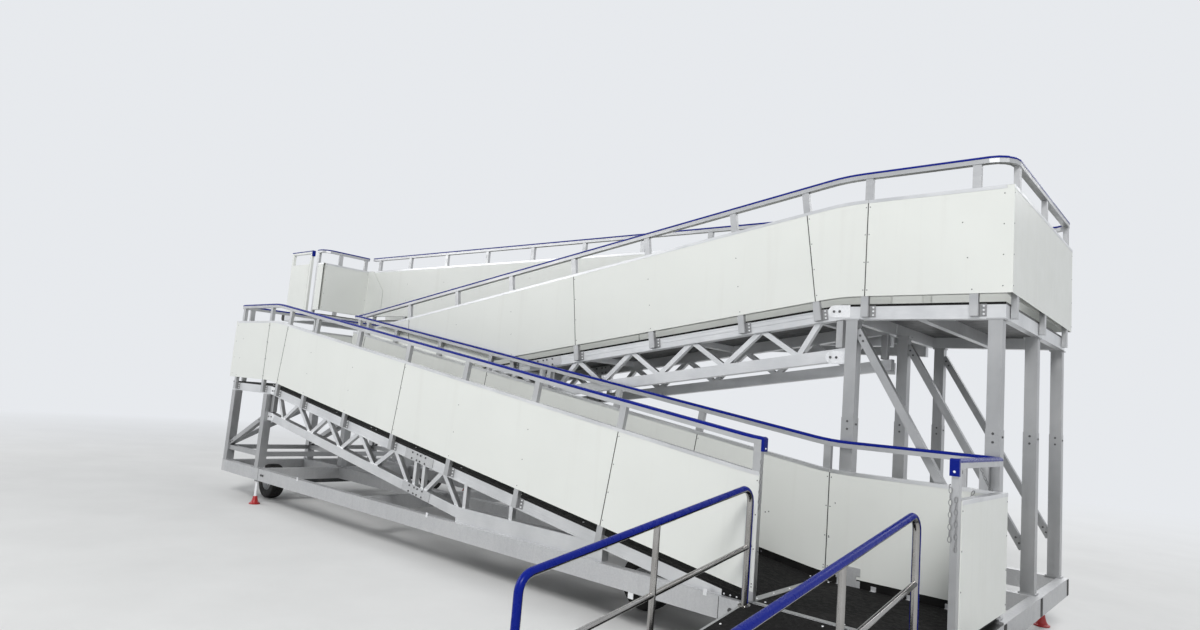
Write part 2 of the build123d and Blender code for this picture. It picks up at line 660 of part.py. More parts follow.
def steer_axle():
    """Steering axle on its ring and king pin, with the tow frame and its fork."""
    body = axle_beam(X_STEER, FRONT_TRACK)
    high = WHEEL_R + AXLE / 2
    ring_top = FRAME_LOW - RING_T - FREE
    king_top = FRAME_LOW - 5
    body = body + prism(X_STEER, Y_MID, high, ring_top, RING_R, RING_R, SIDES)
    body = body + rod((X_STEER, Y_MID, high), (X_STEER, Y_MID, king_top), KING_R - RUN_GAP)
    for way in (-1, 1):
        start = (X_STEER, Y_MID + way * 400, WHEEL_R)
        body = body + strut(start, (X_HITCH - 120, Y_MID + way * 45, WHEEL_R), BRACE, BRACE)
    body = body + block(X_HITCH - 160, X_HITCH - 60, Y_MID - 75, Y_MID + 75, WHEEL_R - 40, WHEEL_R + 40)
    for way in (-1, 1):
        y0, y1 = Y_MID + way * (BAR_HALF + FREE), Y_MID + way * (BAR_HALF + FREE + 15)
        body = body + block(X_HITCH - 60, X_HITCH + 30, y0, y1, WHEEL_R - 35, WHEEL_R + 35)
    return body + rod((X_HITCH, Y_MID - 60, WHEEL_R), (X_HITCH, Y_MID + 60, WHEEL_R), TOW_PIN_R)


def drawbar():
    """Tow bar with its eye, hinged in the fork."""
    end = X_HITCH + DRAWBAR
    bar = block(X_HITCH - 32, end - EYE_R + 8, Y_MID - BAR_HALF, Y_MID + BAR_HALF, WHEEL_R - 30, WHEEL_R + 30)
    bar = chamfer(bar.edges().filter_by(Axis.Y), 20)
    bar = bar + Pos(end, Y_MID, WHEEL_R) * Cylinder(EYE_R, 40)
    bar = bar - Pos(end, Y_MID, WHEEL_R) * Cylinder(EYE_BORE_R, 80)
    reach = BAR_HALF + 5
    ends = [(X_HITCH, y, WHEEL_R) for y in (Y_MID - reach, Y_MID + reach)]
    return bar - rod(*ends, TOW_PIN_R + RUN_GAP)


def jack(x, y):
    """Screw jack: leg in its socket and a flared foot."""
    foot = prism(x, y, 0, JACK_RIM, JACK_FOOT_R, JACK_FOOT_R, JACK_SIDES)
    foot = foot + prism(x, y, JACK_RIM, JACK_FOOT_H, JACK_FOOT_R - 15, JACK_LEG_R + 4, JACK_SIDES)
    top = FRAME_TOP - DECK - JACK_TRAVEL - 5
    return foot + rod((x, y, JACK_FOOT_H - 20), (x, y, top), JACK_LEG_R)


# Entry ramp


def entry_level(y):
    """Level of the entry ramp's plate at y."""
    y_toe = Y_NEAR - ENTRY_RUN
    return TOE + (Z_ENTRY - TOE) * (y - y_toe) / (ENTRY_RUN - ENTRY_GAP)


def entry_ramp():
    """Entry ramp: plate, tapered side beams bored for the hinge pins, cross ribs."""
    y_top, y_toe = Y_NEAR - ENTRY_GAP, Y_NEAR - ENTRY_RUN
    x0, x1 = X_ENTRY, X_ENTRY + ENTRY_WIDTH
    y_flat = y_toe + (ENTRY_DEPTH - TOE) * (ENTRY_RUN - ENTRY_GAP) / (Z_ENTRY - TOE)
    top = [(y_top, Z_ENTRY), (y_toe, TOE), (y_toe, 0)]
    beam = top + [(y_flat, 0), (y_top, Z_ENTRY - ENTRY_DEPTH)]
    body = slab_x(beam, x0, x0 + ENTRY_BEAM) + slab_x(beam, x1 - ENTRY_BEAM, x1)
    body = body + slab_x(top + [(y_top, Z_ENTRY - DECK)], x0 + ENTRY_BEAM, x1 - ENTRY_BEAM)
    for y in spaced(y_flat + 200, y_top - 200, 700):
        half, low, high = 25, entry_level(y) - ENTRY_DEPTH / 2, entry_level(y) - DECK
        rib = [(y - half, low), (y + half, low), (y + half, high), (y - half, high)]
        body = body + slab_x(rib, x0 + ENTRY_BEAM, x1 - ENTRY_BEAM)
    y, z = Y_NEAR - ENTRY_PIN_IN, Z_ENTRY - ENTRY_PIN_DROP
    return body - rod((x0 - 1, y, z), (x1 + 1, y, z), ENTRY_PIN_R + RUN_GAP)


def loop_path(x):
    """Middle line of a bent handrail: up, along over the ramp, down."""
    y0, y1 = Y_NEAR - LOOP_NEAR, Y_NEAR - LOOP_FAR
    points = [(x, y0, entry_level(y0) - 2), (x, y0, entry_level(y0) + LOOP_H)]
    points += [(x, y1, entry_level(y1) + LOOP_H), (x, y1, entry_level(y1) - 2)]
    return bent(points, LOOP_BEND)


def circle(radius, start, end):
    """Points round a circle from one share of a turn to another."""
    steps = round(LOOP_SIDES * (end - start))
    angles = [2 * pi * (start + (end - start) * i / steps) for i in range(steps + (end - start < 1))]
    return [(radius * cos(a), radius * sin(a)) for a in angles]


def loop_rail(x):
    """Bent tube handrail with a knee rail and a middle post."""
    tube = swept(circle(LOOP_R, 0, 1), loop_path(x), (1, 0, 0))
    y0, y1 = Y_NEAR - LOOP_NEAR, Y_NEAR - LOOP_FAR
    knee = [Vector(x, y, entry_level(y) + LOOP_KNEE) for y in (y0, y1)]
    y = (y0 + y1) / 2
    post = [Vector(x, y, entry_level(y) + z) for z in (-2, LOOP_H)]
    for path, radius in ((knee, LOOP_R - 4), (post, LOOP_R - 2)):
        tube = tube + swept(circle(radius, 0, 1), path, (1, 0, 0))
    return tube


def loop_sleeve(x):
    """Sleeve on the outer half of the bent tube."""
    outline = circle(LOOP_R + LOOP_SLEEVE, 0, 0.5) + circle(LOOP_R, 0, 0.5)[::-1]
    return swept(outline, loop_path(x), (1, 0, 0))


# Top flight, lifting frame and door platform


def bridge_deck():
    """Top flight: plate, two deep beams bored at both ends, bearers and the lifting pin."""
    end = HINGE_IN - LUG_HALF
    x0, x1 = X_CAB + end, X_FOOT - end
    ya, yb = LINES[2] + STRINGER_IN, LINES[3] - STRINGER_IN
    low = -DECK - BRIDGE_BEAM_H
    body = slab(TOP.band(x0, x1, -DECK, 0), ya, yb)
    for y in (ya, yb - STRINGER_W):
        body = body + slab(TOP.band(x0, x1, low, -DECK), y, y + STRINGER_W)
    for x in spaced(x0 + 250, x1 - 250, 2 * LACING_BAY):
        bearer = TOP.band(x - BEARER_W / 2, x + BEARER_W / 2, -DECK - 90, -DECK)
        body = body + slab(bearer, ya + STRINGER_W, yb - STRINGER_W)
    z_pin, z_beam = pin_level(), TOP.z(X_LIFT) + low
    for y in (ya + STRINGER_W / 2, yb - STRINGER_W / 2):
        body = body + block(X_LIFT - 45, X_LIFT + 45, y - 10, y + 10, z_pin, z_beam + 5)
    body = body + rod((X_LIFT, ya, z_pin), (X_LIFT, yb, z_pin), PIN_R)
    for x, z in HINGES:
        body = body - rod((x, ya - 1, z), (x, yb + 1, z), HINGE_R + RUN_GAP)
    return body


def pin_level():
    """Height of the lifting pin's centre."""
    return TOP.z(X_LIFT) - DECK - BRIDGE_BEAM_H - PIN_DROP


def hinge_lugs(x, z, x_edge):
    """Two lugs with pins on a platform's edge, inside the bridge's beams."""
    ya, yb = LINES[2] + STRINGER_IN, LINES[3] - STRINGER_IN
    reach = LUG_HALF if x < x_edge else -LUG_HALF
    solids = []
    for y, way in ((ya + STRINGER_W, 1), (yb - STRINGER_W, -1)):
        far = y + way * (FREE + HINGE_LUG)
        lug = block(x - reach, x_edge, y + way * FREE, far, z - LUG_HALF, z + LUG_HALF)
        solids.append(lug + rod((x, far, z), (x, y - way * (STRINGER_W - 2), z), HINGE_R))
    return solids


def cover_plate(x_edge, way, line, outward, deck):
    """Plate on a strip beside a fixed wall; it covers the gap where two walls tilt against each other."""
    low, high = deck + PANEL_GAP, deck + PANEL_GAP + PANEL_H
    x_far, x_top = x_edge + way * COVER_LENGTH, x_edge + way * 0.3 * COVER_LENGTH
    outline = [(x_edge, low), (x_far, low), (x_far, high - 0.7 * COVER_LENGTH), (x_top, high), (x_edge, high)]
    outer, seat = line + outward * SKIN, line - SIDE_GAP
    strip = block(x_edge - way * WALL_T, x_edge, min(seat, outer), max(line, outer), low, high)
    return slab(outline, min(line, outer), max(line, outer)) + strip


def lift_masts():
    """Fixed square tubes of the lifting frame."""
    solids = []
    half, hole = MAST / 2, MAST_TUBE / 2 + FREE
    for y in MAST_ROWS:
        tube = block(X_LIFT - half, X_LIFT + half, y - half, y + half, FRAME_TOP, MAST_TOP)
        solids.append(tube - block(X_LIFT - hole, X_LIFT + hole, y - hole, y + hole, FRAME_TOP, MAST_TOP))
    return solids


def lift_frame():
    """Sliding tubes under a head beam whose forks carry the bridge's pin."""
    seat = pin_level() - PIN_R - 2 * FREE
    low = seat - HEAD_H
    half = MAST_TUBE / 2
    head = block(X_LIFT - half - 5, X_LIFT + half + 5, MAST_ROWS[0] - half, MAST_ROWS[1] + half, low, seat)
    for y in MAST_ROWS:
        head = head + block(X_LIFT - half, X_LIFT + half, y - half, y + half, MAST_FOOT, low)
    for y in (MAST_ROWS[0] + 90, MAST_ROWS[1] - 90):
        for way in (-1, 1):
            x = X_LIFT + way * (half + 12)
            head = head + block(x - 8, x + 8, y - 20, y + 20, low, seat + 70)
    return head


def cab_deck():
    """Door platform floor on its frame, with the lugs that join it to the top flight."""
    low, high = Z_CAB - DECK - STRINGER_H, Z_CAB - DECK
    body = block(X_CAB_END, X_CAB, Y_CAB, LINES[3], high, Z_CAB)
    for y in (Y_CAB, LINES[3] - STRINGER_W):
        body = body + block(X_CAB_END, X_CAB, y, y + STRINGER_W, low, high)
    for x in (X_CAB_END, X_CAB - STRINGER_W):
        body = body + block(x, x + STRINGER_W, Y_CAB, LINES[3], low, high)
    for lug in hinge_lugs(*HINGES[1], X_CAB):
        body = body + lug
    return body


# Writing the pieces


def write_frame():
    """Base frame, tower rows and trestles."""
    write("base_frame", base_frame())
    for name, y in zip(("near", "mid", "far"), ROWS[1:]):
        write(f"tower_row_{name}", tower_row(y))
    rows = (ROWS[0], ROWS[1], LINES[2] - COLUMN / 2)
    for name, y, y_next in zip(("near", "mid", "far"), rows, rows[1:] + (None,)):
        write(f"trestle_{name}", trestle(y, y_next))


def write_entrance(sleeves):
    """Entrance landing with its far side wall and end wall."""
    ya, yb = LINES[0], LINES[1]
    write("entrance_deck", [block(X_FOOT, X_END, ya, yb - STRINGER_IN, FRAME_TOP, Z_ENTRY)])
    posts = [X_END - 288, X_END - 144]
    y_post = ya + SLEEVE_H + POST_W / 2
    far = wall_along(LOW, X_FOOT + SEAM / 2, X_END - WALL_T, yb, 1, posts)
    end = wall_across(X_END, -1, y_post + POST_W / 2 + SEAM, yb - SIDE_GAP, Z_ENTRY, [])
    write("entrance_panels", [far, end])
    rails = rail_along(LOW, X_FOOT, rail_stop(X_END, -1), yb, 1, posts, 0, sleeves)
    rails.append(rail_corner(X_END, -1, yb, 1, Z_ENTRY, sleeves))
    y_stop = rail_stop(yb - SIDE_GAP, -1)
    rails += rail_across(X_END, -1, y_post - POST_W / 2, y_stop, Z_ENTRY, [y_post], 0, sleeves)
    write("entrance_rails", rails)
    mid = X_END - WALL_MID
    cap = turned_down(y_post - POST_W / 2, -1, Z_ENTRY + RAIL_TOP)
    sleeves.append(slab_x(cap, mid - SLEEVE_W / 2, mid + SLEEVE_W / 2))


def flight_posts(high_end, way):
    """Places of a flight's rail posts, the last at its low end."""
    count = int((RUN - SECOND_POST - POST_W) / POST_PITCH)
    places = [SHORT_PANEL] + [SECOND_POST + POST_PITCH * i for i in range(count)] + [RUN - POST_W / 2]
    return [high_end + way * place for place in places]


def flight_walls(walk, high_end, way, line, outward, posts, landing):
    """Wall panels on one side of a flight; landing is how far they reach onto the high landing."""
    splits = [high_end + way * split for split in (SHORT_PANEL, FIRST_SPLIT, SECOND_SPLIT)]
    edges = [(high_end - way * landing, False), (high_end + way * RUN, False)]
    edges = sorted(edges + [(x, True) for x in splits])
    walls = []
    for (x0, square0), (x1, square1) in zip(edges, edges[1:]):
        ends = (x0 + SEAM / 2, x1 - SEAM / 2)
        walls.append(wall_along(walk, *ends, line, outward, posts, (square0, square1)))
    return walls


def write_flight(name, walk, high_end, way, lane, x_truss, floor, sleeves):
    """Deck, girders, walls and rails of one of the two lower flights."""
    write(f"{name}_flight_deck", flight_deck(walk, lane))
    girders = [truss(walk, high_end, way, x_truss, lane, near, floor) for near in (True, False)]
    write(f"{name}_flight_truss", girders)
    posts = flight_posts(high_end, way)
    notches = posts + [high_end - way * LANDING_PANEL]
    walls, rails = [], []
    for line, outward, landing in ((LINES[lane], -1, LANDING_PANEL), (LINES[lane + 1], 1, 0)):
        walls += flight_walls(walk, high_end, way, line, outward, notches if landing else posts, landing)
        rails += rail_along(walk, walk.left, walk.right, line, outward, posts, POST_FOOT, sleeves)
    write(f"{name}_flight_panels", walls)
    write(f"{name}_flight_rails", rails)


def write_landing(name, walk, x_wall, x_open, lane, deck, posts, lugs, covers, sleeves):
    """A turning or top landing: deck, two side walls, end wall and rails."""
    inward = 1 if x_open > x_wall else -1
    x_inner, x_stop = x_wall + inward * WALL_T, rail_stop(x_wall, inward)
    ya, yb = LINES[lane], LINES[lane + 2]
    write(f"{name}_deck", landing_deck(min(x_inner, x_open), max(x_inner, x_open), ya, yb, deck) + lugs)
    walls, rails = [], []
    for line, outward, short in ((ya, -1, LANDING_PANEL), (yb, 1, 0)):
        open_end = x_open - inward * (short + SEAM / 2)
        walls.append(wall_along(walk, *sorted((x_inner, open_end)), line, outward, posts))
        rails += rail_along(walk, *sorted((x_stop, x_open)), line, outward, posts, POST_FOOT, sleeves)
        rails.append(rail_corner(x_wall, inward, line, outward, deck, sleeves))
    ends = [ya + 200, (ya + yb) / 2, yb - 200]
    walls.append(wall_across(x_wall, inward, ya + SIDE_GAP, yb - SIDE_GAP, deck, ends))
    y0, y1 = rail_stop(ya + SIDE_GAP, 1), rail_stop(yb - SIDE_GAP, -1)
    rails += rail_across(x_wall, inward, y0, y1, deck, ends, POST_FOOT, sleeves)
    write(f"{name}_panels", walls + covers)
    write(f"{name}_rails", rails)


def write_bridge():
    """Top flight with its side walls and rails, and the lifting frame under it."""
    write("bridge_deck", [bridge_deck()])
    x0, x1 = X_CAB + END_GAP, X_FOOT - END_GAP
    posts = [X_CAB + 300] + spaced(X_CAB + 1190, x1 - 60, POST_PITCH)
    walls, rails, sleeves = [], [], []
    for line, outward in ((LINES[2], -1), (LINES[3], 1)):
        walls.append(wall_along(TOP, x0, x1, line, outward, posts))
        rails += rail_along(TOP, x0, x1, line, outward, posts, DECK + BRIDGE_BEAM_H / 2, sleeves)
    write("bridge_panels", walls)
    write("bridge_rails", rails)
    write("bridge_sleeves", sleeves)
    write("lift_masts", lift_masts())
    write("lift_frame", [lift_frame()])


def write_cab():
    """Door platform: floor, fixed walls, rails, bumper and the two sliding front walls."""
    write("cab_deck", [cab_deck()])
    x0 = X_CAB - STRIP_LENGTH
    walls, rails, sleeves = [], [], []
    first = x0 + POST_W / 2
    for line, outward, posts in ((Y_CAB, -1, []), (LINES[3], 1, [X_CAB - POST_W])):
        walls.append(wall_along(CAB, x0 + POST_W, X_CAB, line, outward, posts))
        stop = X_CAB if posts else rail_stop(X_CAB, -1)
        rails += rail_along(CAB, x0, stop, line, outward, [first] + posts, 0, sleeves)
    y0, y1 = Y_CAB + SIDE_GAP + WALL_T, LINES[2] - SIDE_GAP
    middle = [y0 + 268, y1 - POST_W]
    walls.append(wall_across(X_CAB, -1, y0, y1, Z_CAB, middle))
    walls += [cover_plate(X_CAB, 1, LINES[2], -1, Z_CAB), cover_plate(X_CAB, 1, LINES[3], 1, Z_CAB)]
    rails.append(rail_corner(X_CAB, -1, Y_CAB, -1, Z_CAB, sleeves))
    y0 = rail_stop(Y_CAB + SIDE_GAP, 1)
    rails += rail_across(X_CAB, -1, y0, y1, Z_CAB, middle, 0, sleeves)
    write("cab_panels", walls)
    write("cab_rails", rails)
    write("cab_sleeves", sleeves)
    write("cab_bumper", [bumper()])
    for name, line, outward in (("near", Y_CAB, -1), ("far", LINES[3], 1)):
        write_slider(name, line, outward)


def bumper():
    """Rubber bumper along the door platform's front edge, with bevelled corners."""
    face, bevel = X_CAB_END - BUMPER, BUMPER_H / 4
    low = [(X_CAB_END, Z_CAB - BUMPER_H), (face + bevel, Z_CAB - BUMPER_H), (face, Z_CAB - BUMPER_H + bevel)]
    high = [(face, Z_CAB - bevel), (face + bevel, Z_CAB), (X_CAB_END, Z_CAB)]
    return slab(low + high, Y_CAB, LINES[3])


def write_slider(name, line, outward):
    """Sliding front wall of the door platform: wall, two posts, rail and runner."""
    x0, x1 = X_CAB_END, X_CAB_END + SLIDER_LENGTH
    sleeves = []
    wall = wall_along(CAB, x0 + POST_W, x1 - POST_W, line, outward, [])
    rail = rail_along(CAB, x0, x1, line, outward, [x0 + POST_W / 2, x1 - POST_W / 2], -PANEL_GAP, sleeves)
    y0, y1 = side(line, outward)
    body = wall + block(x0, x1, y0, y1, Z_CAB + FREE, Z_CAB + PANEL_GAP)
    for piece in rail:
        body = body + piece
    write(f"cab_slider_{name}", [body])
    mid = (y0 + y1) / 2
    sleeves.append(slab(turned_down(x1, 1, Z_CAB + RAIL_TOP), mid - SLEEVE_W / 2, mid + SLEEVE_W / 2))
    write(f"slider_sleeve_{name}", sleeves)


def write_running_gear():
    """Axles, wheels, tow bar and jacks."""
    write("rear_axle", [rear_axle()])
    write("steer_axle", [steer_axle()])
    write("drawbar", [drawbar()])
    for axle, x, track in (("rear", X_REAR, REAR_TRACK), ("steer", X_STEER, FRONT_TRACK)):
        for outward, place in ((-1, "near"), (1, "far")):
            tyre, rim = tyre_and_rim(x, Y_MID + outward * track / 2, outward)
            write(f"tyre_{axle}_{place}", [tyre])
            write(f"rim_{axle}_{place}", [rim])
    for number, (x, y) in enumerate(JACKS, start=1):
        write(f"jack_{number}", [jack(x, y)])


def write_entry():
    """Entry ramp with its two handrails and their sleeves."""
    ramp = entry_ramp()
    sides = (X_ENTRY + ENTRY_BEAM / 2, X_ENTRY + ENTRY_WIDTH - ENTRY_BEAM / 2)
    write("entry_ramp", [ramp])
    write("entry_rails", [loop_rail(x) - ramp for x in sides])
    write("entry_sleeves", [loop_sleeve(x) - ramp for x in sides])


def build():
    """Write every piece."""
    os.makedirs("parts", exist_ok=True)
    sleeves = []
    write_frame()
    write_entrance(sleeves)
    write_flight("low", LOW, X_TURN, 1, 0, X_STEER - 5, FRAME_TOP, sleeves)
    write_flight("mid", MID, X_FOOT, -1, 1, X_TURN, 0.0, sleeves)
    mid = LINES[0] + SIDE_GAP + WALL_MID
    cap = turned_down(X_FOOT, 1, LOW.soft(X_FOOT) + RAIL_TOP)
    sleeves.append(slab(cap, mid - SLEEVE_W / 2, mid + SLEEVE_W / 2))
    posts = [X_LOW_END + 190, X_TURN - LANDING_PANEL]
    write_landing("turn", LOW, X_LOW_END, X_TURN, 0, Z_TURN, posts, [], [], sleeves)
    lugs = hinge_lugs(*HINGES[0], X_FOOT)
    covers = [cover_plate(X_FOOT, -1, LINES[3], 1, Z_TOP)]
    posts = [X_FOOT + LANDING_PANEL, X_END - 254]
    write_landing("top", MID, X_END, X_FOOT, 1, Z_TOP, posts, lugs, covers, sleeves)
    write("base_sleeves", sleeves)
    write_bridge()
    write_cab()
    write_running_gear()
    write_entry()


build()
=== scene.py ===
# %% [markdown]
# # A step-free boarding ramp
# The real machine is a wheeled frame with three walkways side by side. The way up starts at the entry
# ramp, doubles back over two flights, and follows a long top flight to a level platform.
# Its shapes come from the measured frame. This script adds what makes it look real: edging on the
# walls, screws, bolts, brackets, tread, chains, and a surface for every piece.

# %% Load the frame
from collections import defaultdict
from math import cos, pi, radians, sin

import bmesh
import bpy
import numpy as np
from mathutils import Matrix, Vector


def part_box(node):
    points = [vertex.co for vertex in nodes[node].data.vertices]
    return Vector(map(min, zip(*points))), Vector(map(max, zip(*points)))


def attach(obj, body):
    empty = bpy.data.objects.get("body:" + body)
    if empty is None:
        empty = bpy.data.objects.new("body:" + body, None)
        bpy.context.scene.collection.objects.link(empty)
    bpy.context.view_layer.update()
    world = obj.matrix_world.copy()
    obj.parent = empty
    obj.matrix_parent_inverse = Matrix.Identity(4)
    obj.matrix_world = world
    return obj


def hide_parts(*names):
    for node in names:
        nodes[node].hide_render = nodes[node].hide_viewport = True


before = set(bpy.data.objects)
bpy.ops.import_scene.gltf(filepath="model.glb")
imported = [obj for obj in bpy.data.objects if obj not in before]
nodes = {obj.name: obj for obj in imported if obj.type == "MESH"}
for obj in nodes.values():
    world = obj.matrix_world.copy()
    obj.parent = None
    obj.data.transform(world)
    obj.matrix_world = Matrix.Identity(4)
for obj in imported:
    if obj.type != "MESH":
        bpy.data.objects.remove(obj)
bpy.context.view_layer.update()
print("pieces in the frame:", len(nodes))

# %% [markdown]
# ## The camera
# The camera stands where the picture was taken: a little over eye height, close to the entry ramp,
# looking up along the machine with the picture slightly tilted. It comes first, so that every later
# step can be judged through it. Turning it by hand would also work, but three angles say it exactly.

# %% Camera
EYE = (6.4665, -4.9025, 1.744)
YAW, PITCH, ROLL = 41.229, 6.320, 4.754
FOCAL_PIXELS, PICTURE_PIXELS = 742.21, 1200
SENSOR = 36


def camera_turn(yaw, pitch, roll):
    """Forward is +Y turned left by yaw and raised by pitch; right and up then turn about it by roll."""
    forward = Vector((-sin(yaw) * cos(pitch), cos(yaw) * cos(pitch), sin(pitch)))
    right = Vector((cos(yaw), sin(yaw), 0))
    above = right.cross(forward)
    across = cos(roll) * right + sin(roll) * above
    up = -sin(roll) * right + cos(roll) * above
    return Matrix((across, up, -forward)).transposed()


camera = bpy.data.objects.new("camera", bpy.data.cameras.new("camera"))
bpy.context.scene.collection.objects.link(camera)
camera.matrix_world = Matrix.Translation(EYE) @ camera_turn(*map(radians, (YAW, PITCH, ROLL))).to_4x4()
camera.data.sensor_width = SENSOR
camera.data.lens = SENSOR * FOCAL_PIXELS / PICTURE_PIXELS
camera.data.clip_end = 200
bpy.context.scene.camera = camera
print("lens", round(camera.data.lens, 2), "mm")

# %% [markdown]
# ## Places
# Every later piece needs the same few lines of the machine: where the flights begin and end, how high
# the decks are, and where the three lanes lie. They are read off the frame's own pieces, so they always
# agree with it.

# %% Places read from the frame
x_turn, x_foot = (corner.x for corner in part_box("low_flight_deck"))
x_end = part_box("entrance_deck")[1].x
x_low_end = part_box("turn_panels")[0].x
x_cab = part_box("cab_rails")[1].x
x_cab_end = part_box("cab_bumper")[1].x
z_entry, z_turn, z_top, z_cab = (
    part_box(n)[1].z for n in ("entrance_deck", "turn_deck", "top_deck", "cab_deck"))
SIDE_GAP, SKIN, POST = 0.005, 0.004, 0.04
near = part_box("low_flight_panels")[0].y - SIDE_GAP
lane = (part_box("bridge_panels")[1].y + SIDE_GAP - near) / 3
lines = [near + lane * i for i in range(4)]
y_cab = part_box("cab_deck")[0].y
LOW = ((x_turn, z_turn), (x_foot, z_entry))
MID = ((x_turn, z_turn), (x_foot, z_top))
TOP = ((x_cab, z_cab), (x_foot, z_top))
CAB = ((x_cab_end, z_cab), (x_cab, z_cab))
WALL_LOW, WALL_TOP = 0.062, 0.852
BEND = 0.15
print("decks at", [round(z, 3) for z in (z_entry, z_turn, z_top, z_cab)], "lane", round(lane, 3))


def level(x, walk):
    """Deck level at x: one slope between two levels, each corner eased by a parabola of half length BEND."""
    (xa, za), (xb, zb) = walk
    slope = (zb - za) / (xb - xa)
    ease_a = np.clip(BEND - np.abs(x - xa), 0, None) ** 2
    ease_b = np.clip(BEND - np.abs(x - xb), 0, None) ** 2
    return za + slope * (np.clip(x, xa, xb) - xa) + slope * (ease_a - ease_b) / (4 * BEND)


def stations(x0, x1, walk):
    """Places from x0 to x1, with five through each eased corner, where a straight-sided strip may turn."""
    corners = [end[0] + BEND * i / 2 for end in walk for i in range(-2, 3)]
    inside = [x for x in corners if x0 + 0.001 < x < x1 - 0.001]
    return np.array([x0] + inside + [x1])


# %% [markdown]
# ## Making pieces
# A shape is an array of points and a list of faces. One helper turns shapes into a mesh, welds doubled
# points and turns every face outwards. Another makes one piece for each body that shapes ride on.

# %% Mesh helpers
UP = ((0, 0, 1), (1, 0, 0))


def facing(outward):
    """Directions (out, along) for what lies on a face that looks along Y, or against it for -1."""
    return (0, outward, 0), (-outward, 0, 0)


def piece(name, shape, finish, body, smooth=None):
    """Mesh of a shape, or of a list of them, with one finish, riding on a body; smooth is an angle."""
    points, faces = together(*shape) if isinstance(shape, list) else shape
    mesh = bpy.data.meshes.new(name)
    mesh.from_pydata(np.asarray(points, float).reshape(-1, 3).tolist(), [], [list(f) for f in faces])
    work = bmesh.new()
    work.from_mesh(mesh)
    bmesh.ops.remove_doubles(work, verts=work.verts, dist=1e-6)
    bmesh.ops.recalc_face_normals(work, faces=work.faces)
    work.to_mesh(mesh)
    work.free()
    if smooth is not None:
        mesh.shade_smooth()
        mesh.set_sharp_from_angle(angle=radians(smooth))
    mesh.materials.append(finish)
    made = bpy.data.objects.new(name, mesh)
    bpy.context.scene.collection.objects.link(made)
    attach(made, body)
    return made


def pieces(name, shapes, finish):
    """One piece for each body, of all the shapes that were gathered for it."""
    for body, parts in shapes.items():
        piece(f"{name}_{body}", parts, finish, body)


# %% [markdown]
# ## Making shapes
# Three helpers make most shapes: a profile carried along a path, an outline turned about an axis, and one
# small shape stamped at many places. Whole arrays are worked at once, which is much faster than points.

# %% Shape helpers
def closed_grid(rows, columns):
    """Quads of a grid that joins up both ways, as on a ring."""
    i, j = np.meshgrid(np.arange(rows), np.arange(columns), indexing="ij")
    p, q = (i + 1) % rows, (j + 1) % columns
    quads = np.stack([i * columns + j, i * columns + q, p * columns + q, p * columns + j], -1)
    return quads.reshape(-1, 4).tolist()


def grid_faces(rows, columns):
    """Quads of a tube of rows whose columns join up, with a face over each end."""
    ends = [list(range(columns))[::-1], [(rows - 1) * columns + c for c in range(columns)]]
    return closed_grid(rows, columns)[:-columns] + ends


def carried(profile, path, across=None):
    """Profile (across, up) carried along a path; across is level unless given, and up squares the two."""
    path = np.asarray(path, float)
    along = np.gradient(path, axis=0)
    along /= np.linalg.norm(along, axis=1)[:, None]
    if across is None:
        across = np.cross(along, (0, 0, 1.0))
    across = np.broadcast_to(across, path.shape) / np.linalg.norm(across, axis=-1, keepdims=True)
    up = np.cross(across, along)
    profile = np.asarray(profile, float)
    rings = path[:, None] + across[:, None] * profile[None, :, :1] + up[:, None] * profile[None, :, 1:]
    return rings.reshape(-1, 3), grid_faces(len(path), len(profile))


def turned(outline, centre, axis, steps):
    """Outline (radius, along) turned about an axis through a centre; the outline closes on itself."""
    angle = np.linspace(0, 2 * pi, steps, endpoint=False)[:, None]
    radius, along = np.asarray(outline, float).T
    a, b = radius * np.cos(angle), radius * np.sin(angle)
    t = np.broadcast_to(along, a.shape)
    points = np.stack((a, t, b) if axis == "y" else (a, b, t), -1) + np.asarray(centre, float)
    return points.reshape(-1, 3), closed_grid(steps, len(outline))


def stamped(shape, origins, out, along):
    """A shape's points (along, side, out) set at each origin; out and along are directions, one or many."""
    points, faces = shape
    origins = np.asarray(origins, float).reshape(-1, 3)
    out = np.broadcast_to(np.asarray(out, float), origins.shape)
    along = np.broadcast_to(np.asarray(along, float), origins.shape)
    side = np.cross(out, along)
    axes = np.stack([along, side, out], 1)
    placed = origins[:, None] + np.einsum("pk,nkc->npc", points, axes)
    shift = np.arange(len(origins)) * len(points)
    return placed.reshape(-1, 3), [[v + s for v in f] for s in shift.tolist() for f in faces]


def together(*parts):
    """Several (points, faces) as one."""
    points, faces, start = [], [], 0
    for part_points, part_faces in parts:
        points.append(np.asarray(part_points, float).reshape(-1, 3))
        faces += [[v + start for v in f] for f in part_faces]
        start += len(points[-1])
    return np.concatenate(points), faces


# %% [markdown]
# ## Small hardware
# Bolts, screws and plates repeat many times, so each is one small shape. A bolt is a washer under
# a six-sided head with its corners knocked off. A screw is a low dome. A plate is a box whose edges are
# broken by a fine chamfer, because no real edge is perfectly sharp.

# %% Hardware shapes
DECK_SCREW, WALL_SCREW = 0.008, 0.005


def stack(rings):
    """Rings of (radius, height, sides) joined upwards and closed on top, as one small turned shape."""
    sides = rings[0][2]
    angle = np.arange(sides) * 2 * pi / sides
    circle = np.stack([np.cos(angle), np.sin(angle)], -1)
    points = [np.concatenate([circle * r, np.full((sides, 1), h)], 1) for r, h, _ in rings]
    return np.concatenate(points), grid_faces(len(rings), sides)


def bolt(size):
    """Hex bolt for a thread of that size: washer, head across corners, broken top edge."""
    washer = stack([(size, 0, 12), (size, 0.12 * size, 12)])
    head = stack([(0.9 * size, 0.12 * size, 6), (0.9 * size, 0.65 * size, 6), (0.75 * size, 0.75 * size, 6)])
    return together(washer, head)


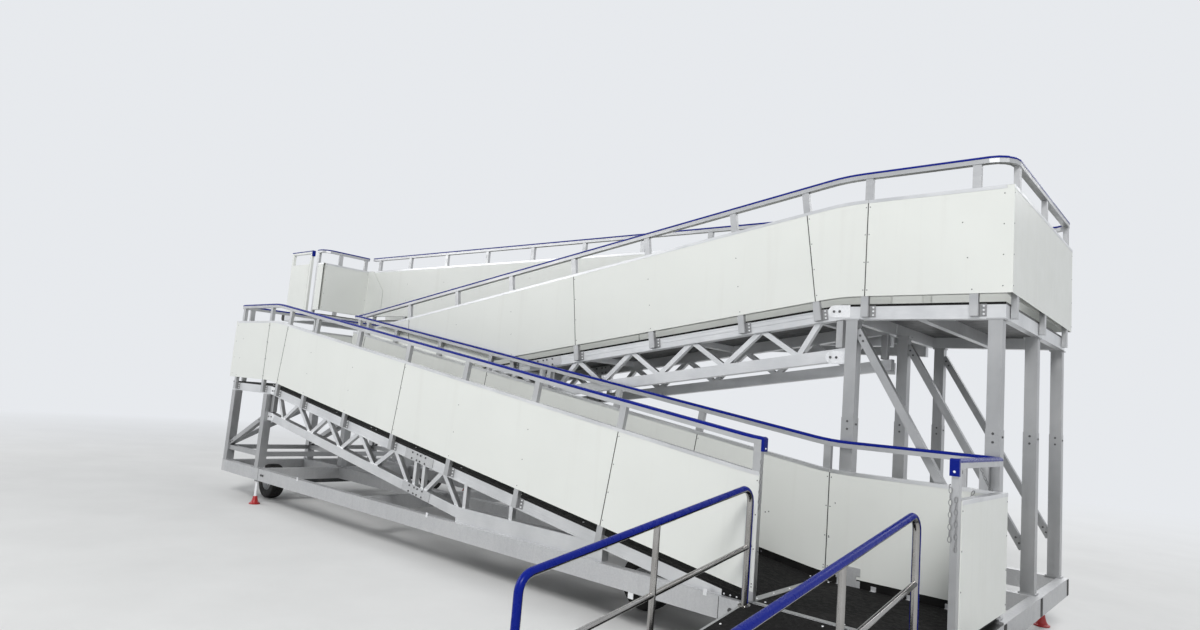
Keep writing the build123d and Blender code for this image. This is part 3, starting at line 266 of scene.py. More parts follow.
def screw(radius):
    """Low domed screw head."""
    return stack([(radius, 0, 8), (0.8 * radius, 0.35 * radius, 8), (0.35 * radius, 0.5 * radius, 8)])


def plate(length, width, height, chamfer=0.0015):
    """Box on its base with all edges broken: each corner gives three points, one on each side."""
    corner = np.array([[i, j, k] for i in (-1, 1) for j in (-1, 1) for k in (-1, 1)], float)
    half = np.array([length, width, height]) / 2
    points = corner[:, None] * (half - chamfer * (1 - np.eye(3))[None])
    points = points.reshape(-1, 3) + (0, 0, height / 2)
    sides = ((0, 1, 3, 2), (4, 6, 7, 5), (0, 4, 5, 1), (2, 3, 7, 6), (0, 2, 6, 4), (1, 5, 7, 3))
    faces = [[3 * c + number // 2 for c in order] for number, order in enumerate(sides)]
    for axis in range(3):
        step = 4 >> axis
        b, c = [a for a in range(3) if a != axis]
        faces += [[3 * k + b, 3 * (k + step) + b, 3 * (k + step) + c, 3 * k + c]
                  for k in range(8) if not k & step]
    return points, faces + [[3 * k, 3 * k + 1, 3 * k + 2] for k in range(8)]


print("faces: bolt", len(bolt(0.01)[1]), "screw", len(screw(0.005)[1]), "plate", len(plate(1, 1, 1)[1]))

# %% [markdown]
# ## Finishes
# A finish is a colour with small changes in it, a gloss that changes too, and a fine relief. All three
# come from noise measured in metres on the piece, so they have the right scale from any distance.
# Image textures would stretch and repeat, so none is used.

# %% Finish helpers
class Finish:
    """A material whose nodes are added one line at a time."""

    def __init__(self, name, metallic=0.0, coat=0.0):
        self.material = bpy.data.materials.new(name)
        self.material.use_nodes = True
        self.tree = self.material.node_tree
        self.shader = self.tree.nodes["Principled BSDF"]
        self.shader.inputs["Metallic"].default_value = metallic
        self.shader.inputs["Coat Weight"].default_value = coat
        self.place = self.add("ShaderNodeTexCoord").outputs["Object"]
        self.relief = None

    def add(self, kind, **values):
        """A node with its settings."""
        made = self.tree.nodes.new(kind)
        for key, value in values.items():
            setattr(made, key, value)
        return made

    def join(self, source, target):
        self.tree.links.new(source, target)

    def noise(self, scale, detail, stretch=(1, 1, 1)):
        """Cloudy noise with that many bumps to the metre; a small stretch draws it out along an axis."""
        mapping = self.add("ShaderNodeMapping")
        mapping.inputs["Scale"].default_value = stretch
        self.join(self.place, mapping.inputs["Vector"])
        made = self.add("ShaderNodeTexNoise")
        for key, value in (("Scale", scale), ("Detail", detail), ("Roughness", 0.55)):
            made.inputs[key].default_value = value
        self.join(mapping.outputs["Vector"], made.inputs["Vector"])
        return made.outputs["Fac"]

    def cells(self, scale):
        """Random cells, as in the grain of zinc."""
        made = self.add("ShaderNodeTexVoronoi")
        made.inputs["Scale"].default_value = scale
        self.join(self.place, made.inputs["Vector"])
        return made.outputs

    def ramp(self, source, *stops):
        """Two colours for a rising value, each stop as (value, colour)."""
        made = self.add("ShaderNodeValToRGB")
        for point, (value, colour) in zip(made.color_ramp.elements, stops):
            point.position = value
            point.color = (*colour, 1)
        self.join(source, made.inputs["Fac"])
        return made.outputs["Color"]

    def span(self, source, low, high, out_low, out_high):
        """A value from one range carried to another."""
        made = self.add("ShaderNodeMapRange")
        for key, value in zip(("From Min", "From Max", "To Min", "To Max"), (low, high, out_low, out_high)):
            made.inputs[key].default_value = value
        self.join(source, made.inputs["Value"])
        return made.outputs["Result"]

    def blend(self, share, first, second):
        """Two colours, each from a node or in numbers, mixed by a share."""
        made = self.add("ShaderNodeMix", data_type="RGBA")
        for number, value in ((0, share), (6, first), (7, second)):
            if isinstance(value, bpy.types.NodeSocket):
                self.join(value, made.inputs[number])
            else:
                made.inputs[number].default_value = (*value, 1)
        return made.outputs[2]

    def colour(self, source):
        self.join(source, self.shader.inputs["Base Color"])

    def dusted(self, base, dust, where, low, high, most):
        """Base colour under dust, whose share rises to most as the value where goes from low to high."""
        self.colour(self.blend(self.span(where, low, high, 0.0, most), base, dust))

    def gloss(self, scale, detail, low, high, stretch=(1, 1, 1), start=0.3, end=0.7):
        """Roughness that goes from low to high as its own noise goes from start to end."""
        source = self.span(self.noise(scale, detail, stretch), start, end, low, high)
        self.join(source, self.shader.inputs["Roughness"])

    def bump(self, source, depth):
        """Relief of that depth in metres; each call adds to the last."""
        made = self.add("ShaderNodeBump")
        made.inputs["Distance"].default_value = depth
        self.join(source, made.inputs["Height"])
        if self.relief is not None:
            self.join(self.relief, made.inputs["Normal"])
        self.relief = made.outputs["Normal"]
        self.join(self.relief, self.shader.inputs["Normal"])


# %% [markdown]
# ## Wall panels
# The walls are coated sheet, nearly white with a warm cast. In sunlight they show faint clouds, a few
# darker upright runs of dirt, and the slight waviness of thin sheet.

# %% Wall finish
def wall_finish(name, pale, dusty):
    """Off-white coat: broad clouds, thin upright runs of dirt, a soft orange-peel relief."""
    made = Finish(name)
    base = made.ramp(made.noise(1.3, 3), (0.3, [c * 0.965 for c in pale]), (0.7, pale))
    made.dusted(base, dusty, made.noise(9, 5, (1, 1, 0.05)), 0.56, 0.8, 0.22)
    made.gloss(6, 4, 0.3, 0.44)
    made.bump(made.noise(1.1, 2), 0.0022)
    made.bump(made.noise(420, 2), 0.00008)
    return made.material


panel_white = wall_finish("panel_white", (0.735, 0.75, 0.715), (0.58, 0.57, 0.53))
print(panel_white.name)

# %% [markdown]
# ## Bare metals
# Two metals carry the machine. Extruded aluminium is bright, with fine die lines along its length.
# Hot-dip galvanised steel is greyer and shows spangle, the patchwork of zinc crystals, with darker
# runs where the bath drained. The lines follow the length of the piece, so each comes in directions.
# Columns and masts get the same aluminium at a darker tone, and that darkness is painted shade.

# %% Metal finishes
LENGTHWISE, UPRIGHT, CROSSWISE = (0.03, 1, 1), (1, 1, 0.03), (1, 0.03, 1)
DIE_GREY = (0.45, 0.46, 0.47)


def toned(tone, *shares):
    """A colour as shares of one tone."""
    return [tone * share for share in shares]


def aluminium(name, grain, tone, rough):
    """Bright metal with die lines along its grain and dull clouds where it has weathered."""
    made = Finish(name, metallic=0.92)
    die_lines = made.noise(300, 3, grain)
    dull, pale = toned(tone, 0.8, 0.81, 0.82), toned(tone, 1, 1.005, 1.01)
    base = made.ramp(made.noise(2.2, 4), (0.32, dull), (0.68, pale))
    made.dusted(base, DIE_GREY, die_lines, 0.35, 0.65, 0.12)
    made.gloss(14, 5, rough, rough + 0.16, grain)
    made.bump(die_lines, 0.00012)
    return made.material


def galvanised(name, tone, streak):
    """Grey zinc: faint crystals, upright drain runs, white bloom in clouds and a lightly lumpy skin."""
    made = Finish(name, metallic=0.55)
    crystals = made.add("ShaderNodeRGBToBW")
    made.join(made.cells(90)["Color"], crystals.inputs["Color"])
    dark, pale = toned(tone, 0.95, 0.96, 0.98), toned(tone, 1.04, 1.05, 1.06)
    base = made.ramp(crystals.outputs["Val"], (0.2, dark), (0.8, pale))
    share = made.span(made.noise(2.3, 5), 0.45, 0.75, 0.0, 0.5)
    bloom = made.blend(share, base, toned(tone, 1.2, 1.2, 1.19))
    made.dusted(bloom, (0.26, 0.26, 0.26), made.noise(22, 5, (1, 1, 0.06)), 0.5, 0.8, streak)
    made.gloss(20, 4, 0.45, 0.62)
    made.bump(made.noise(35, 4), 0.0002)
    return made.material


def polished(name):
    """Stainless tube: darker mirror with a soft patchy gloss and a few finger smudges."""
    made = Finish(name, metallic=1.0)
    base = made.ramp(made.noise(3, 4), (0.3, (0.30, 0.29, 0.28)), (0.7, (0.42, 0.41, 0.40)))
    made.dusted(base, (0.26, 0.24, 0.22), made.noise(7, 5), 0.55, 0.8, 0.3)
    made.gloss(9, 5, 0.1, 0.26, start=0.35, end=0.75)
    made.bump(made.noise(40, 3), 0.00004)
    return made.material


alu_long = aluminium("mill_aluminium", LENGTHWISE, 0.76, 0.32)
# the columns' aluminium is the same metal at a darker tone: painted shade on columns, trestles and masts
alu_upright_painted_shade = aluminium("column_aluminium_painted_shade", UPRIGHT, 0.47, 0.36)
alu_rail = aluminium("rail_aluminium", LENGTHWISE, 0.54, 0.34)
alu_cross = aluminium("cross_aluminium", CROSSWISE, 0.52, 0.4)
alu_trim = aluminium("edging_aluminium", LENGTHWISE, 0.76, 0.28)
stainless = polished("polished_stainless")
zinc_frame = galvanised("galvanised_frame", 0.5, 0.16)
zinc_dark = galvanised("galvanised_bracket", 0.3, 0.4)
zinc_bright = galvanised("bright_zinc", 0.78, 0.25)
bolt_dark = galvanised("weathered_bolts", 0.09, 0.3)
print("metals:", [m.name for m in (alu_long, alu_upright_painted_shade, alu_rail, alu_cross, alu_trim, stainless)])

# %% [markdown]
# ## Coloured and dark finishes
# The rails wear a glossy blue sleeve, the decks a black grit that grips wet shoes, the axles a dark
# paint with road dust, and the jack feet a red one. Each keeps its own gloss and grain.

# %% Paint, grit and rubber
def painted(name, colour, dust, rough, coat=0.0, dusty=0.25):
    """Paint with faint clouds, dust on it and a fine orange-peel relief."""
    made = Finish(name, coat=coat)
    base = made.ramp(made.noise(3, 4), (0.3, [c * 0.85 for c in colour]), (0.7, colour))
    made.dusted(base, dust, made.noise(11, 6), 0.5, 0.85, dusty)
    made.gloss(18, 4, rough, rough + 0.15)
    made.bump(made.noise(350, 2), 0.0001)
    return made.material


def grit(name):
    """Black walking surface: sharp mineral grains, paler where feet have polished and dusted it."""
    made = Finish(name)
    grains = made.cells(420)["Distance"]
    base = made.ramp(made.noise(1.8, 5), (0.35, (0.005, 0.005, 0.005)), (0.8, (0.016, 0.015, 0.015)))
    made.colour(made.blend(made.span(grains, 0.0, 0.4, 0.14, 0.0), base, (0.10, 0.10, 0.10)))
    made.gloss(30, 3, 0.6, 0.85)
    made.bump(grains, 0.0008)
    return made.material


def rubber(name, tone):
    """Dull black with grey dust in its clouds."""
    made = Finish(name)
    made.colour(made.ramp(made.noise(9, 5), (0.35, toned(tone, 1, 1, 1)), (0.75, toned(tone, 2.4, 2.3, 2.2))))
    made.gloss(40, 4, 0.62, 0.88)
    made.bump(made.noise(160, 4), 0.0004)
    return made.material


# %% [markdown]
# ## Finishes of the decks
# One piece of the frame holds both a deck's walking plate and the beams under it, so its finish has to
# change with height: black on the coated plate, bright metal below. Everything else is told by name.

# %% Deck finishes
def deck_finish(name, walk):
    """Aluminium beams under a black-coated plate: black where the height over the deck is above -15.5 mm."""
    (xa, za), (xb, zb) = sorted(walk)
    made = Finish(name)
    split = made.add("ShaderNodeSeparateXYZ")
    made.join(made.place, split.inputs[0])
    drop = made.add("ShaderNodeMath", operation="SUBTRACT")
    made.join(split.outputs["Z"], drop.inputs[0])
    made.join(made.span(split.outputs["X"], xa, xb, za, zb), drop.inputs[1])
    share = made.span(drop.outputs[0], -0.0156, -0.0154, 0.0, 1.0)
    die_lines = made.noise(300, 3, LENGTHWISE)
    metal = made.ramp(made.noise(2.2, 4), (0.32, (0.6, 0.608, 0.616)), (0.68, (0.74, 0.745, 0.75)))
    metal = made.blend(made.span(die_lines, 0.35, 0.65, 0.0, 0.12), metal, DIE_GREY)
    coat = made.ramp(made.noise(4, 5), (0.35, (0.006, 0.006, 0.006)), (0.75, (0.015, 0.014, 0.013)))
    made.colour(made.blend(share, metal, coat))
    made.join(made.span(share, 0.0, 1.0, 0.92, 0.0), made.shader.inputs["Metallic"])
    made.gloss(14, 5, 0.36, 0.5)
    made.bump(die_lines, 0.00012)
    return made.material


def plain_coat(name):
    """Black resin coat of the walking plates' edges: faint clouds, scuffs and a fine skin."""
    made = Finish(name)
    base = made.ramp(made.noise(6, 5), (0.35, (0.006, 0.006, 0.006)), (0.8, (0.018, 0.017, 0.016)))
    made.dusted(base, (0.05, 0.05, 0.05), made.noise(60, 4), 0.62, 0.8, 0.4)
    made.gloss(25, 4, 0.4, 0.6)
    made.bump(made.noise(200, 3), 0.00015)
    return made.material


# %% The coloured finishes
coat_black = plain_coat("deck_coat")
screw_dark = painted("screw_dark", (0.10, 0.10, 0.11), (0.3, 0.3, 0.3), 0.35, 0.0, 0.3)
rail_blue = painted("rail_blue", (0.001, 0.010, 0.21), (0.003, 0.016, 0.2), 0.2, 0.0, 0.06)
jack_red = painted("jack_red", (0.42, 0.012, 0.014), (0.30, 0.10, 0.07), 0.3, 0.1)
axle_dark = painted("axle_dark", (0.05, 0.053, 0.057), (0.16, 0.14, 0.12), 0.42, 0.0, 0.5)
rim_grey = painted("rim_grey", (0.30, 0.31, 0.32), (0.20, 0.17, 0.14), 0.35, 0.0, 0.45)
deck_black = grit("deck_grit")
tyre_black = rubber("tyre_rubber", 0.016)
seam_black = rubber("seam_rubber", 0.02)
LOW_SHINE = ((rail_blue, 0.14), (deck_black, 0.1), (coat_black, 0.12), (tyre_black, 0.3))
for made, share in LOW_SHINE:
    made.node_tree.nodes["Principled BSDF"].inputs["Specular IOR Level"].default_value = share
print("painted:", [m.name for m in (rail_blue, jack_red, axle_dark, rim_grey, deck_black, tyre_black)])

# %% [markdown]
# ## Dressing the frame
# Each node of the frame takes one finish by its name. A short table of name endings is easier to read
# and check than fifty separate lines.

# %% Finishes for the frame's pieces
FINISHES = [
    ("sleeve", rail_blue), ("base_frame", zinc_frame), ("tower", alu_upright_painted_shade), ("trestle", alu_upright_painted_shade),
    ("truss", alu_long), ("panels", panel_white), ("cab_slider", panel_white), ("entry_rails", alu_trim),
    ("rails", alu_rail), ("entry_ramp", alu_cross), ("cab_bumper", seam_black), ("deck", alu_long),
    ("lift", alu_upright_painted_shade), ("tyre", tyre_black), ("rim", rim_grey), ("jack", jack_red), ("", axle_dark),
]


def finish_for(name):
    """The first finish whose word is in the name."""
    return next(finish for word, finish in FINISHES if word in name)


DECKS = {"low_flight_deck": LOW, "mid_flight_deck": MID, "turn_deck": LOW, "top_deck": MID,
         "bridge_deck": TOP, "cab_deck": CAB, "entrance_deck": LOW}
for name, node in nodes.items():
    finish = deck_finish(f"{name}_finish", DECKS[name]) if name in DECKS else finish_for(name)
    node.data.materials.clear()
    node.data.materials.append(finish)
print("finished", len(nodes), "pieces of the frame")

# %% [markdown]
# ## Walls as a table
# Edging, screws, seams, kick strips and brackets all follow the same walls, so the walls are listed once:
# the walkway each belongs to, its two ends, the lane line it stands on, which side faces out, its panel
# joints (leaning ones stand square to the slope), its posts, and the body it moves with.

# %% The walls
SHORT, JOINTS = 0.195, (0.21, 2.9, 5.87)
FLIGHT_POSTS = [0.21] + [0.92 + 0.99 * i for i in range(6)] + [7.22]
WALL = POST + 2 * SKIN
INNER = SIDE_GAP + WALL
POST_IN = SIDE_GAP + SKIN
DECK_IN = POST_IN + POST
GAP = 0.1


def from_end(high_end, way, places):
    """Places along a flight, measured from its high end."""
    return sorted(high_end + way * place for place in places)


low_posts, mid_posts = from_end(x_turn, 1, FLIGHT_POSTS), from_end(x_foot, -1, FLIGHT_POSTS)
low_joints, mid_joints = from_end(x_turn, 1, JOINTS), from_end(x_foot, -1, JOINTS)
bridge_posts = [x_cab + 0.3] + np.linspace(x_cab + 1.19, x_foot - GAP - 0.06, 9).tolist()
turn_posts, top_posts = [x_low_end + 0.19, x_turn - SHORT], [x_foot + SHORT, x_end - 0.254]
walls = [
    ("low_near", LOW, x_turn - SHORT, x_foot, lines[0], -1, low_joints, low_posts, "base"),
    ("low_far", LOW, x_turn, x_foot, lines[1], 1, low_joints, low_posts, "base"),
    ("mid_near", MID, x_turn, x_foot + SHORT, lines[1], -1, mid_joints, mid_posts, "base"),
    ("mid_far", MID, x_turn, x_foot, lines[2], 1, mid_joints, mid_posts, "base"),
    ("top_flight_near", TOP, x_cab + GAP, x_foot - GAP, lines[2], -1, [], bridge_posts, "bridge"),
    ("top_flight_far", TOP, x_cab + GAP, x_foot - GAP, lines[3], 1, [], bridge_posts, "bridge"),
    ("turn_near", LOW, x_low_end + WALL, x_turn - SHORT, lines[0], -1, [], turn_posts, "base"),
    ("turn_far", LOW, x_low_end + WALL, x_turn, lines[2], 1, [], turn_posts, "base"),
    ("top_near", MID, x_foot + SHORT, x_end - WALL, lines[1], -1, [], top_posts, "base"),
    ("top_far", MID, x_foot, x_end - WALL, lines[3], 1, [], top_posts, "base"),
    ("entrance_far", LOW, x_foot, x_end - WALL, lines[1], 1, [], [x_end - 0.288, x_end - 0.144], "base"),
    ("cab_near", CAB, x_cab - 0.18, x_cab, y_cab, -1, [], [], "cab"),
    ("cab_far", CAB, x_cab - 0.18, x_cab, lines[3], 1, [], [], "cab"),
]
end_walls = [
    ("turn_end", x_low_end, 1, lines[0] + SIDE_GAP, lines[2] - SIDE_GAP, z_turn, "base"),
    ("top_end", x_end, -1, lines[1] + SIDE_GAP, lines[3] - SIDE_GAP, z_top, "base"),
    ("entrance_end", x_end, -1, lines[0] + 0.085, lines[1] - SIDE_GAP, z_entry, "base"),
    ("cab_end", x_cab, -1, y_cab + INNER, lines[2] - SIDE_GAP, z_cab, "cab"),
]
print(len(walls), "walls along the flights and", len(end_walls), "across")


# %% Strips that follow a walkway
def ribbon(walk, x0, x1, outline, follow=level):
    """Outline (y, height over the deck) carried along a walkway, with upright ends."""
    x = stations(x0, x1, walk) if follow is level else np.array([x0, x1])
    y, height = np.asarray(outline, float).T
    rows = np.broadcast_arrays(x[:, None], y[None], follow(x, walk)[:, None] + height[None])
    return np.stack(rows, -1).reshape(-1, 3), grid_faces(len(x), len(outline))


def straight(x, walk):
    """Deck level at x without the eased corners, as the walking plates lie."""
    (xa, za), (xb, zb) = walk
    return za + (zb - za) * np.clip((x - xa) / (xb - xa), 0, 1)


def broken(a0, a1, b0, b1, edge=0.0008):
    """Outline of a rectangle with its corners broken."""
    return [(a0 + edge, b0), (a1 - edge, b0), (a1, b0 + edge), (a1, b1 - edge),
            (a1 - edge, b1), (a0 + edge, b1), (a0, b1 - edge), (a0, b0 + edge)]


def between(a, b, across, width, height):
    """Straight bar with broken edges from a to b; its width lies along across."""
    return carried(broken(-width / 2, width / 2, -height / 2, height / 2), [a, b], across)


def lean(walk):
    """Angle of a walkway's slope."""
    (xa, za), (xb, zb) = walk
    return np.arctan2(zb - za, xb - xa)


def beam_faces(lane_number):
    """Outer faces (y, outward) of the two beams under a lane."""
    return (lines[lane_number] + DECK_IN, -1), (lines[lane_number + 1] - DECK_IN, 1)


def on_slope(slope, outward):
    """Directions (out, along, up) on the side face of a sloping beam."""
    out, along = np.array((0.0, outward, 0.0)), np.array((-outward * cos(slope), 0.0, -outward * sin(slope)))
    return out, along, np.cross(out, along)


def beside(walk, x, height):
    """Point (x, z) on a line through the deck at x, square to the slope and height over the deck."""
    shift = -np.sin(lean(walk)) * np.cos(lean(walk)) * height
    return x + shift, level(x + shift, walk) + height


# %% [markdown]
# ## Walking surfaces
# Every deck carries black grit sheets, screwed down, and a pale strip crosses it where two decks meet. The
# sheets are thin slabs with narrow gaps between them, because painted lines would cast no shadow.

# %% Grit sheets and joint strips
SHEET, STRIP = 0.003, 0.004
SIDE, STRIP_W = DECK_IN + 0.003, 0.05
sheets, strips, deck_screws = defaultdict(list), defaultdict(list), defaultdict(list)


def lay_sheets(walk, x0, x1, y0, y1, body, count=1):
    """Sheets side by side along a deck, with screws along both edges of each."""
    edges = np.linspace(x0, x1, count + 1)
    for a, b in zip(edges, edges[1:]):
        sheets[body].append(ribbon(walk, a + 0.002, b - 0.002, broken(y0, y1, -0.0005, SHEET), straight))
        along = np.linspace(a + 0.05, b - 0.05, max(2, round((b - a) / 0.6)))
        x, y = np.meshgrid(along, (y0 + 0.04, y1 - 0.04))
        deck_screws[body].append(np.stack([x, y, straight(x, walk) + SHEET], -1).reshape(-1, 3))


def lay_strip(walk, x0, x1, y0, y1, body):
    """Pale strip across a deck with a row of screws."""
    strips[body].append(ribbon(walk, x0, x1, broken(y0, y1, 0, STRIP), straight))
    y = np.linspace(y0 + 0.06, y1 - 0.06, 5)
    x = np.full_like(y, (x0 + x1) / 2)
    deck_screws[body].append(np.stack([x, y, straight(x, walk) + STRIP], -1))


y_from, y_to = [line + SIDE for line in lines], [line - SIDE for line in lines]
for walk, number in ((LOW, 0), (MID, 1)):
    lay_sheets(walk, x_turn + STRIP_W, x_foot - STRIP_W, y_from[number], y_to[number + 1], "base", 3)
    for x in (x_turn + 0.002, x_foot - STRIP_W + 0.002):
        lay_strip(walk, x, x + STRIP_W - 0.004, y_from[number], y_to[number + 1], "base")
lay_sheets(LOW, x_low_end + WALL, x_turn, y_from[0], y_to[2], "base")
lay_sheets(MID, x_foot, x_end - WALL, y_from[1], y_to[3], "base")
lay_sheets(LOW, x_foot, x_end - WALL, lines[0] + STRIP_W, y_to[1], "base")
lay_strip(LOW, x_foot + 0.002, x_end - WALL, lines[0] + 0.004, lines[0] + STRIP_W - 0.004, "base")
lay_sheets(TOP, x_cab + 0.03, x_foot - 0.03, y_from[2], y_to[3], "bridge", 4)
lay_sheets(CAB, x_cab_end + 0.12, x_cab - WALL - 0.002, y_cab + 0.06, lines[3] - 0.06, "cab")
lay_strip(CAB, x_cab_end + 0.11, x_cab_end + 0.16, y_cab + 0.06, lines[3] - 0.06, "cab")
print("sheets:", {body: len(parts) for body, parts in sheets.items()})

# %% Walking surfaces become pieces
pieces("grit_sheets", sheets, deck_black)
pieces("deck_strips", strips, alu_cross)
for body, rows in deck_screws.items():
    piece(f"deck_screws_{body}", stamped(screw(DECK_SCREW), np.concatenate(rows), *UP), zinc_bright, body)

# %% [markdown]
# ## Surface of the entry ramp
# The entry ramp has the same black grit between its pale side beams, in three sheets with cross cleats
# at their joints and a bare steel lip at the toe, where wheels roll on.

# %% Entry ramp surface
TOE, RIM = 0.005, 0.022
ramp_low, ramp_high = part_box("entry_ramp")
tilt = np.arctan2(z_entry - TOE, ramp_high.y - ramp_low.y)
ON_RAMP = ((0, -sin(tilt), cos(tilt)), (1, 0, 0))


def ramp_level(y):
    return TOE + (z_entry - TOE) * (y - ramp_low.y) / (ramp_high.y - ramp_low.y)


def on_ramp(y0, y1, thick, side=RIM):
    """Flat slab across the ramp's plate that stops short of both its sides."""
    xs = (ramp_low.x + side, ramp_high.x - side)
    points = [(x, y, ramp_level(y) + h) for h in (0, thick) for y in (y0, y1) for x in xs]
    quads = [(0, 2, 3, 1), (4, 5, 7, 6), (0, 1, 5, 4), (2, 6, 7, 3), (0, 4, 6, 2), (1, 3, 7, 5)]
    return np.array(points), quads


edges = np.linspace(ramp_low.y + 0.06, ramp_high.y - 0.004, 4)
parts = [on_ramp(a + 0.002, b - 0.002, SHEET) for a, b in zip(edges, edges[1:])]
piece("grit_sheets_entry", parts, deck_black, "entry")
parts = [on_ramp(y - 0.02, y + 0.02, 0.005) for y in edges[1:3]]
parts.append(on_ramp(ramp_low.y + 0.003, ramp_low.y + 0.055, 0.004, 0.002))
piece("ramp_cleats", parts, alu_cross, "entry")
along = np.linspace(edges[0] + 0.05, edges[-1] - 0.05, 9)
x, y = np.meshgrid(np.linspace(ramp_low.x + 0.06, ramp_high.x - 0.06, 3), along)
spots = np.stack([x, y, ramp_level(y) + SHEET], -1).reshape(-1, 3)
piece("ramp_screws", stamped(screw(DECK_SCREW), spots, *ON_RAMP), zinc_bright, "entry")

# %% [markdown]
# ## Edges of the walking plates
# The plates are black-coated all round, so a dark line shows between every wall and the pale beam under
# it. A thin black edge profile runs along each side of every deck and turns over the grit sheets.

# %% Edge profiles
EDGE_LOW, EDGE_HIGH = -0.0148, 0.0036
profiles = defaultdict(list)


def edge_profile(walk, x0, x1, y, inward, body):
    """Thin angle-like strip along a deck's side at y; inward points to the deck's middle."""
    y0, y1 = sorted((y - inward * 0.001, y + inward * 0.0045))
    profiles[body].append(ribbon(walk, x0, x1, broken(y0, y1, EDGE_LOW, EDGE_HIGH), straight))


for walk, x0, x1, lane_a, lane_b, body in (
        (LOW, x_turn, x_foot, 0, 1, "base"), (MID, x_turn, x_foot, 1, 2, "base"),
        (LOW, x_low_end + WALL, x_turn, 0, 2, "base"), (MID, x_foot, x_end - WALL, 1, 3, "base"),
        (TOP, x_cab + 0.02, x_foot - 0.02, 2, 3, "bridge")):
    edge_profile(walk, x0 + 0.001, x1 - 0.001, lines[lane_a] + DECK_IN, 1, body)
    edge_profile(walk, x0 + 0.001, x1 - 0.001, lines[lane_b] - DECK_IN, -1, body)
pieces("deck_edges", profiles, coat_black)
print("edge profiles:", sum(len(parts) for parts in profiles.values()))

# %% [markdown]
# ## Painted shade in the wall slots
# Along the low flight's far side and round the entrance landing, a black strip between the deck and the
# wall is painted shade: it stands in for the dark shade in that slot. It lies flat on the posts' inner faces.

# %% Painted shade in the wall slots
SLOT_SHADE_LOW, SLOT_SHADE_HIGH = 0.0005, 0.0612
slot_shades = []
for name, walk, x0, x1, line, outward, joints, posts, body in walls:
    if name in ("low_far", "entrance_far"):
        y0, y1 = sorted((line - outward * (DECK_IN - 0.0005), line - outward * (DECK_IN + 0.0025)))
        slot_shades.append(ribbon(walk, x0 + 0.003, x1 - 0.001, broken(y0, y1, SLOT_SHADE_LOW, SLOT_SHADE_HIGH)))
for name, x, inward, y0, y1, deck, body in end_walls:
    if name == "entrance_end":
        face = x + inward * (WALL - SKIN)
        shape = plate(y1 - y0 - WALL, SLOT_SHADE_HIGH - SLOT_SHADE_LOW, 0.003, 0.0008)
        spot = (face, (y0 + y1 - WALL) / 2, deck + (SLOT_SHADE_LOW + SLOT_SHADE_HIGH) / 2)
        slot_shades.append(stamped(shape, [spot], (inward, 0, 0), (0, inward, 0)))
# the black strips are painted shade, standing in for the dark slot under the wall
piece("painted_slot_shade", slot_shades, coat_black, "base")
print("painted slot shade strips:", len(slot_shades))

# %% [markdown]
# ## Edging
# A pale channel of aluminium covers the top edge of each wall, so that nobody meets the raw sheet. It is
# a shallow U carried along the wall's top, bends included.

# %% Edging on the walls
EDGE_H, EDGE_T = 0.025, 0.0014
half = WALL / 2 + EDGE_T
EDGE = [(-half, -EDGE_H), (-half + EDGE_T, -EDGE_H), (-half + EDGE_T, -EDGE_T / 2),
        (half - EDGE_T, -EDGE_T / 2), (half - EDGE_T, -EDGE_H), (half, -EDGE_H),
        (half, EDGE_T - 0.001), (half - 0.001, EDGE_T), (0.001 - half, EDGE_T), (-half, EDGE_T - 0.001)]


edging = defaultdict(list)
for name, walk, x0, x1, line, outward, joints, posts, body in walls:
    x = stations(x0 + 0.002, x1 - 0.002, walk)
    middle = np.full_like(x, line - outward * (SIDE_GAP + WALL / 2))
    edging[body].append(carried(EDGE, np.stack([x, middle, level(x, walk) + WALL_TOP], -1)))
for name, x, inward, y0, y1, deck, body in end_walls:
    edging[body].append(carried(EDGE, [(x + inward * WALL / 2, y, deck + WALL_TOP) for y in (y0, y1)]))
pieces("wall_edging", edging, alu_trim)
print("edging strips:", {body: len(parts) for body, parts in edging.items()})

# %% [markdown]
# ## Joints between panels
# The walls come in panels. A dark gasket closes each joint on both faces and stands square to the slope,
# as the panels' ends do. Painting the line in the finish would be quicker, but a real strip has a shadow.

# %% Gaskets
GASKET_W, GASKET_T = 0.008, 0.002
GASKET_SINK = GASKET_T / 3


def gasket(walk, x, y, leaning):
    """Thin upright strip on a wall face at x; one that leans stands square to the slope."""
    low, high = WALL_LOW + 0.001, WALL_TOP - EDGE_H
    if leaning:
        (xa, za), (xb, zb) = beside(walk, x, low), beside(walk, x, high)
    else:
        xa, xb, za, zb = x, x, level(x, walk) + low, level(x, walk) + high
    return between((xa, y, za), (xb, y, zb), (1, 0, 0), GASKET_W, GASKET_T)


gasket_rows = [(walk, joints, line, outward, body, True)
               for name, walk, x0, x1, line, outward, joints, posts, body in walls]
gasket_rows += [(walk, [x], lines[number], outward, "base", False) for walk, x, number, outward in (
    (LOW, x_turn - SHORT, 0, -1), (MID, x_foot + SHORT, 1, -1), (LOW, x_foot, 1, 1), (LOW, x_turn, 2, 1))]
gaskets = defaultdict(list)
for walk, places, line, outward, body, leaning in gasket_rows:
    for depth in (SIDE_GAP - GASKET_SINK, INNER + GASKET_SINK):
        for x in places:
            gaskets[body].append(gasket(walk, x, line - outward * depth, leaning))
pieces("wall_gaskets", gaskets, seam_black)
print("gaskets:", sum(map(len, gaskets.values())))

# %% [markdown]
# ## Screws in the walls
# Dark screws hold the sheets to the posts behind them, three to a post, with a closer upright row beside
# each joint and in the corners. They are only 10 mm across, yet they say "sheet metal" from far off.

# %% Screws
EDGE_IN = 0.016
screw_rows = defaultdict(list)


def add_screws(body, x, y, z, out):
    """Screw places in one face direction; numbers and arrays are spread over each other."""
    screw_rows[body, out].append(np.stack(np.broadcast_arrays(x, y, z), -1).reshape(-1, 3))


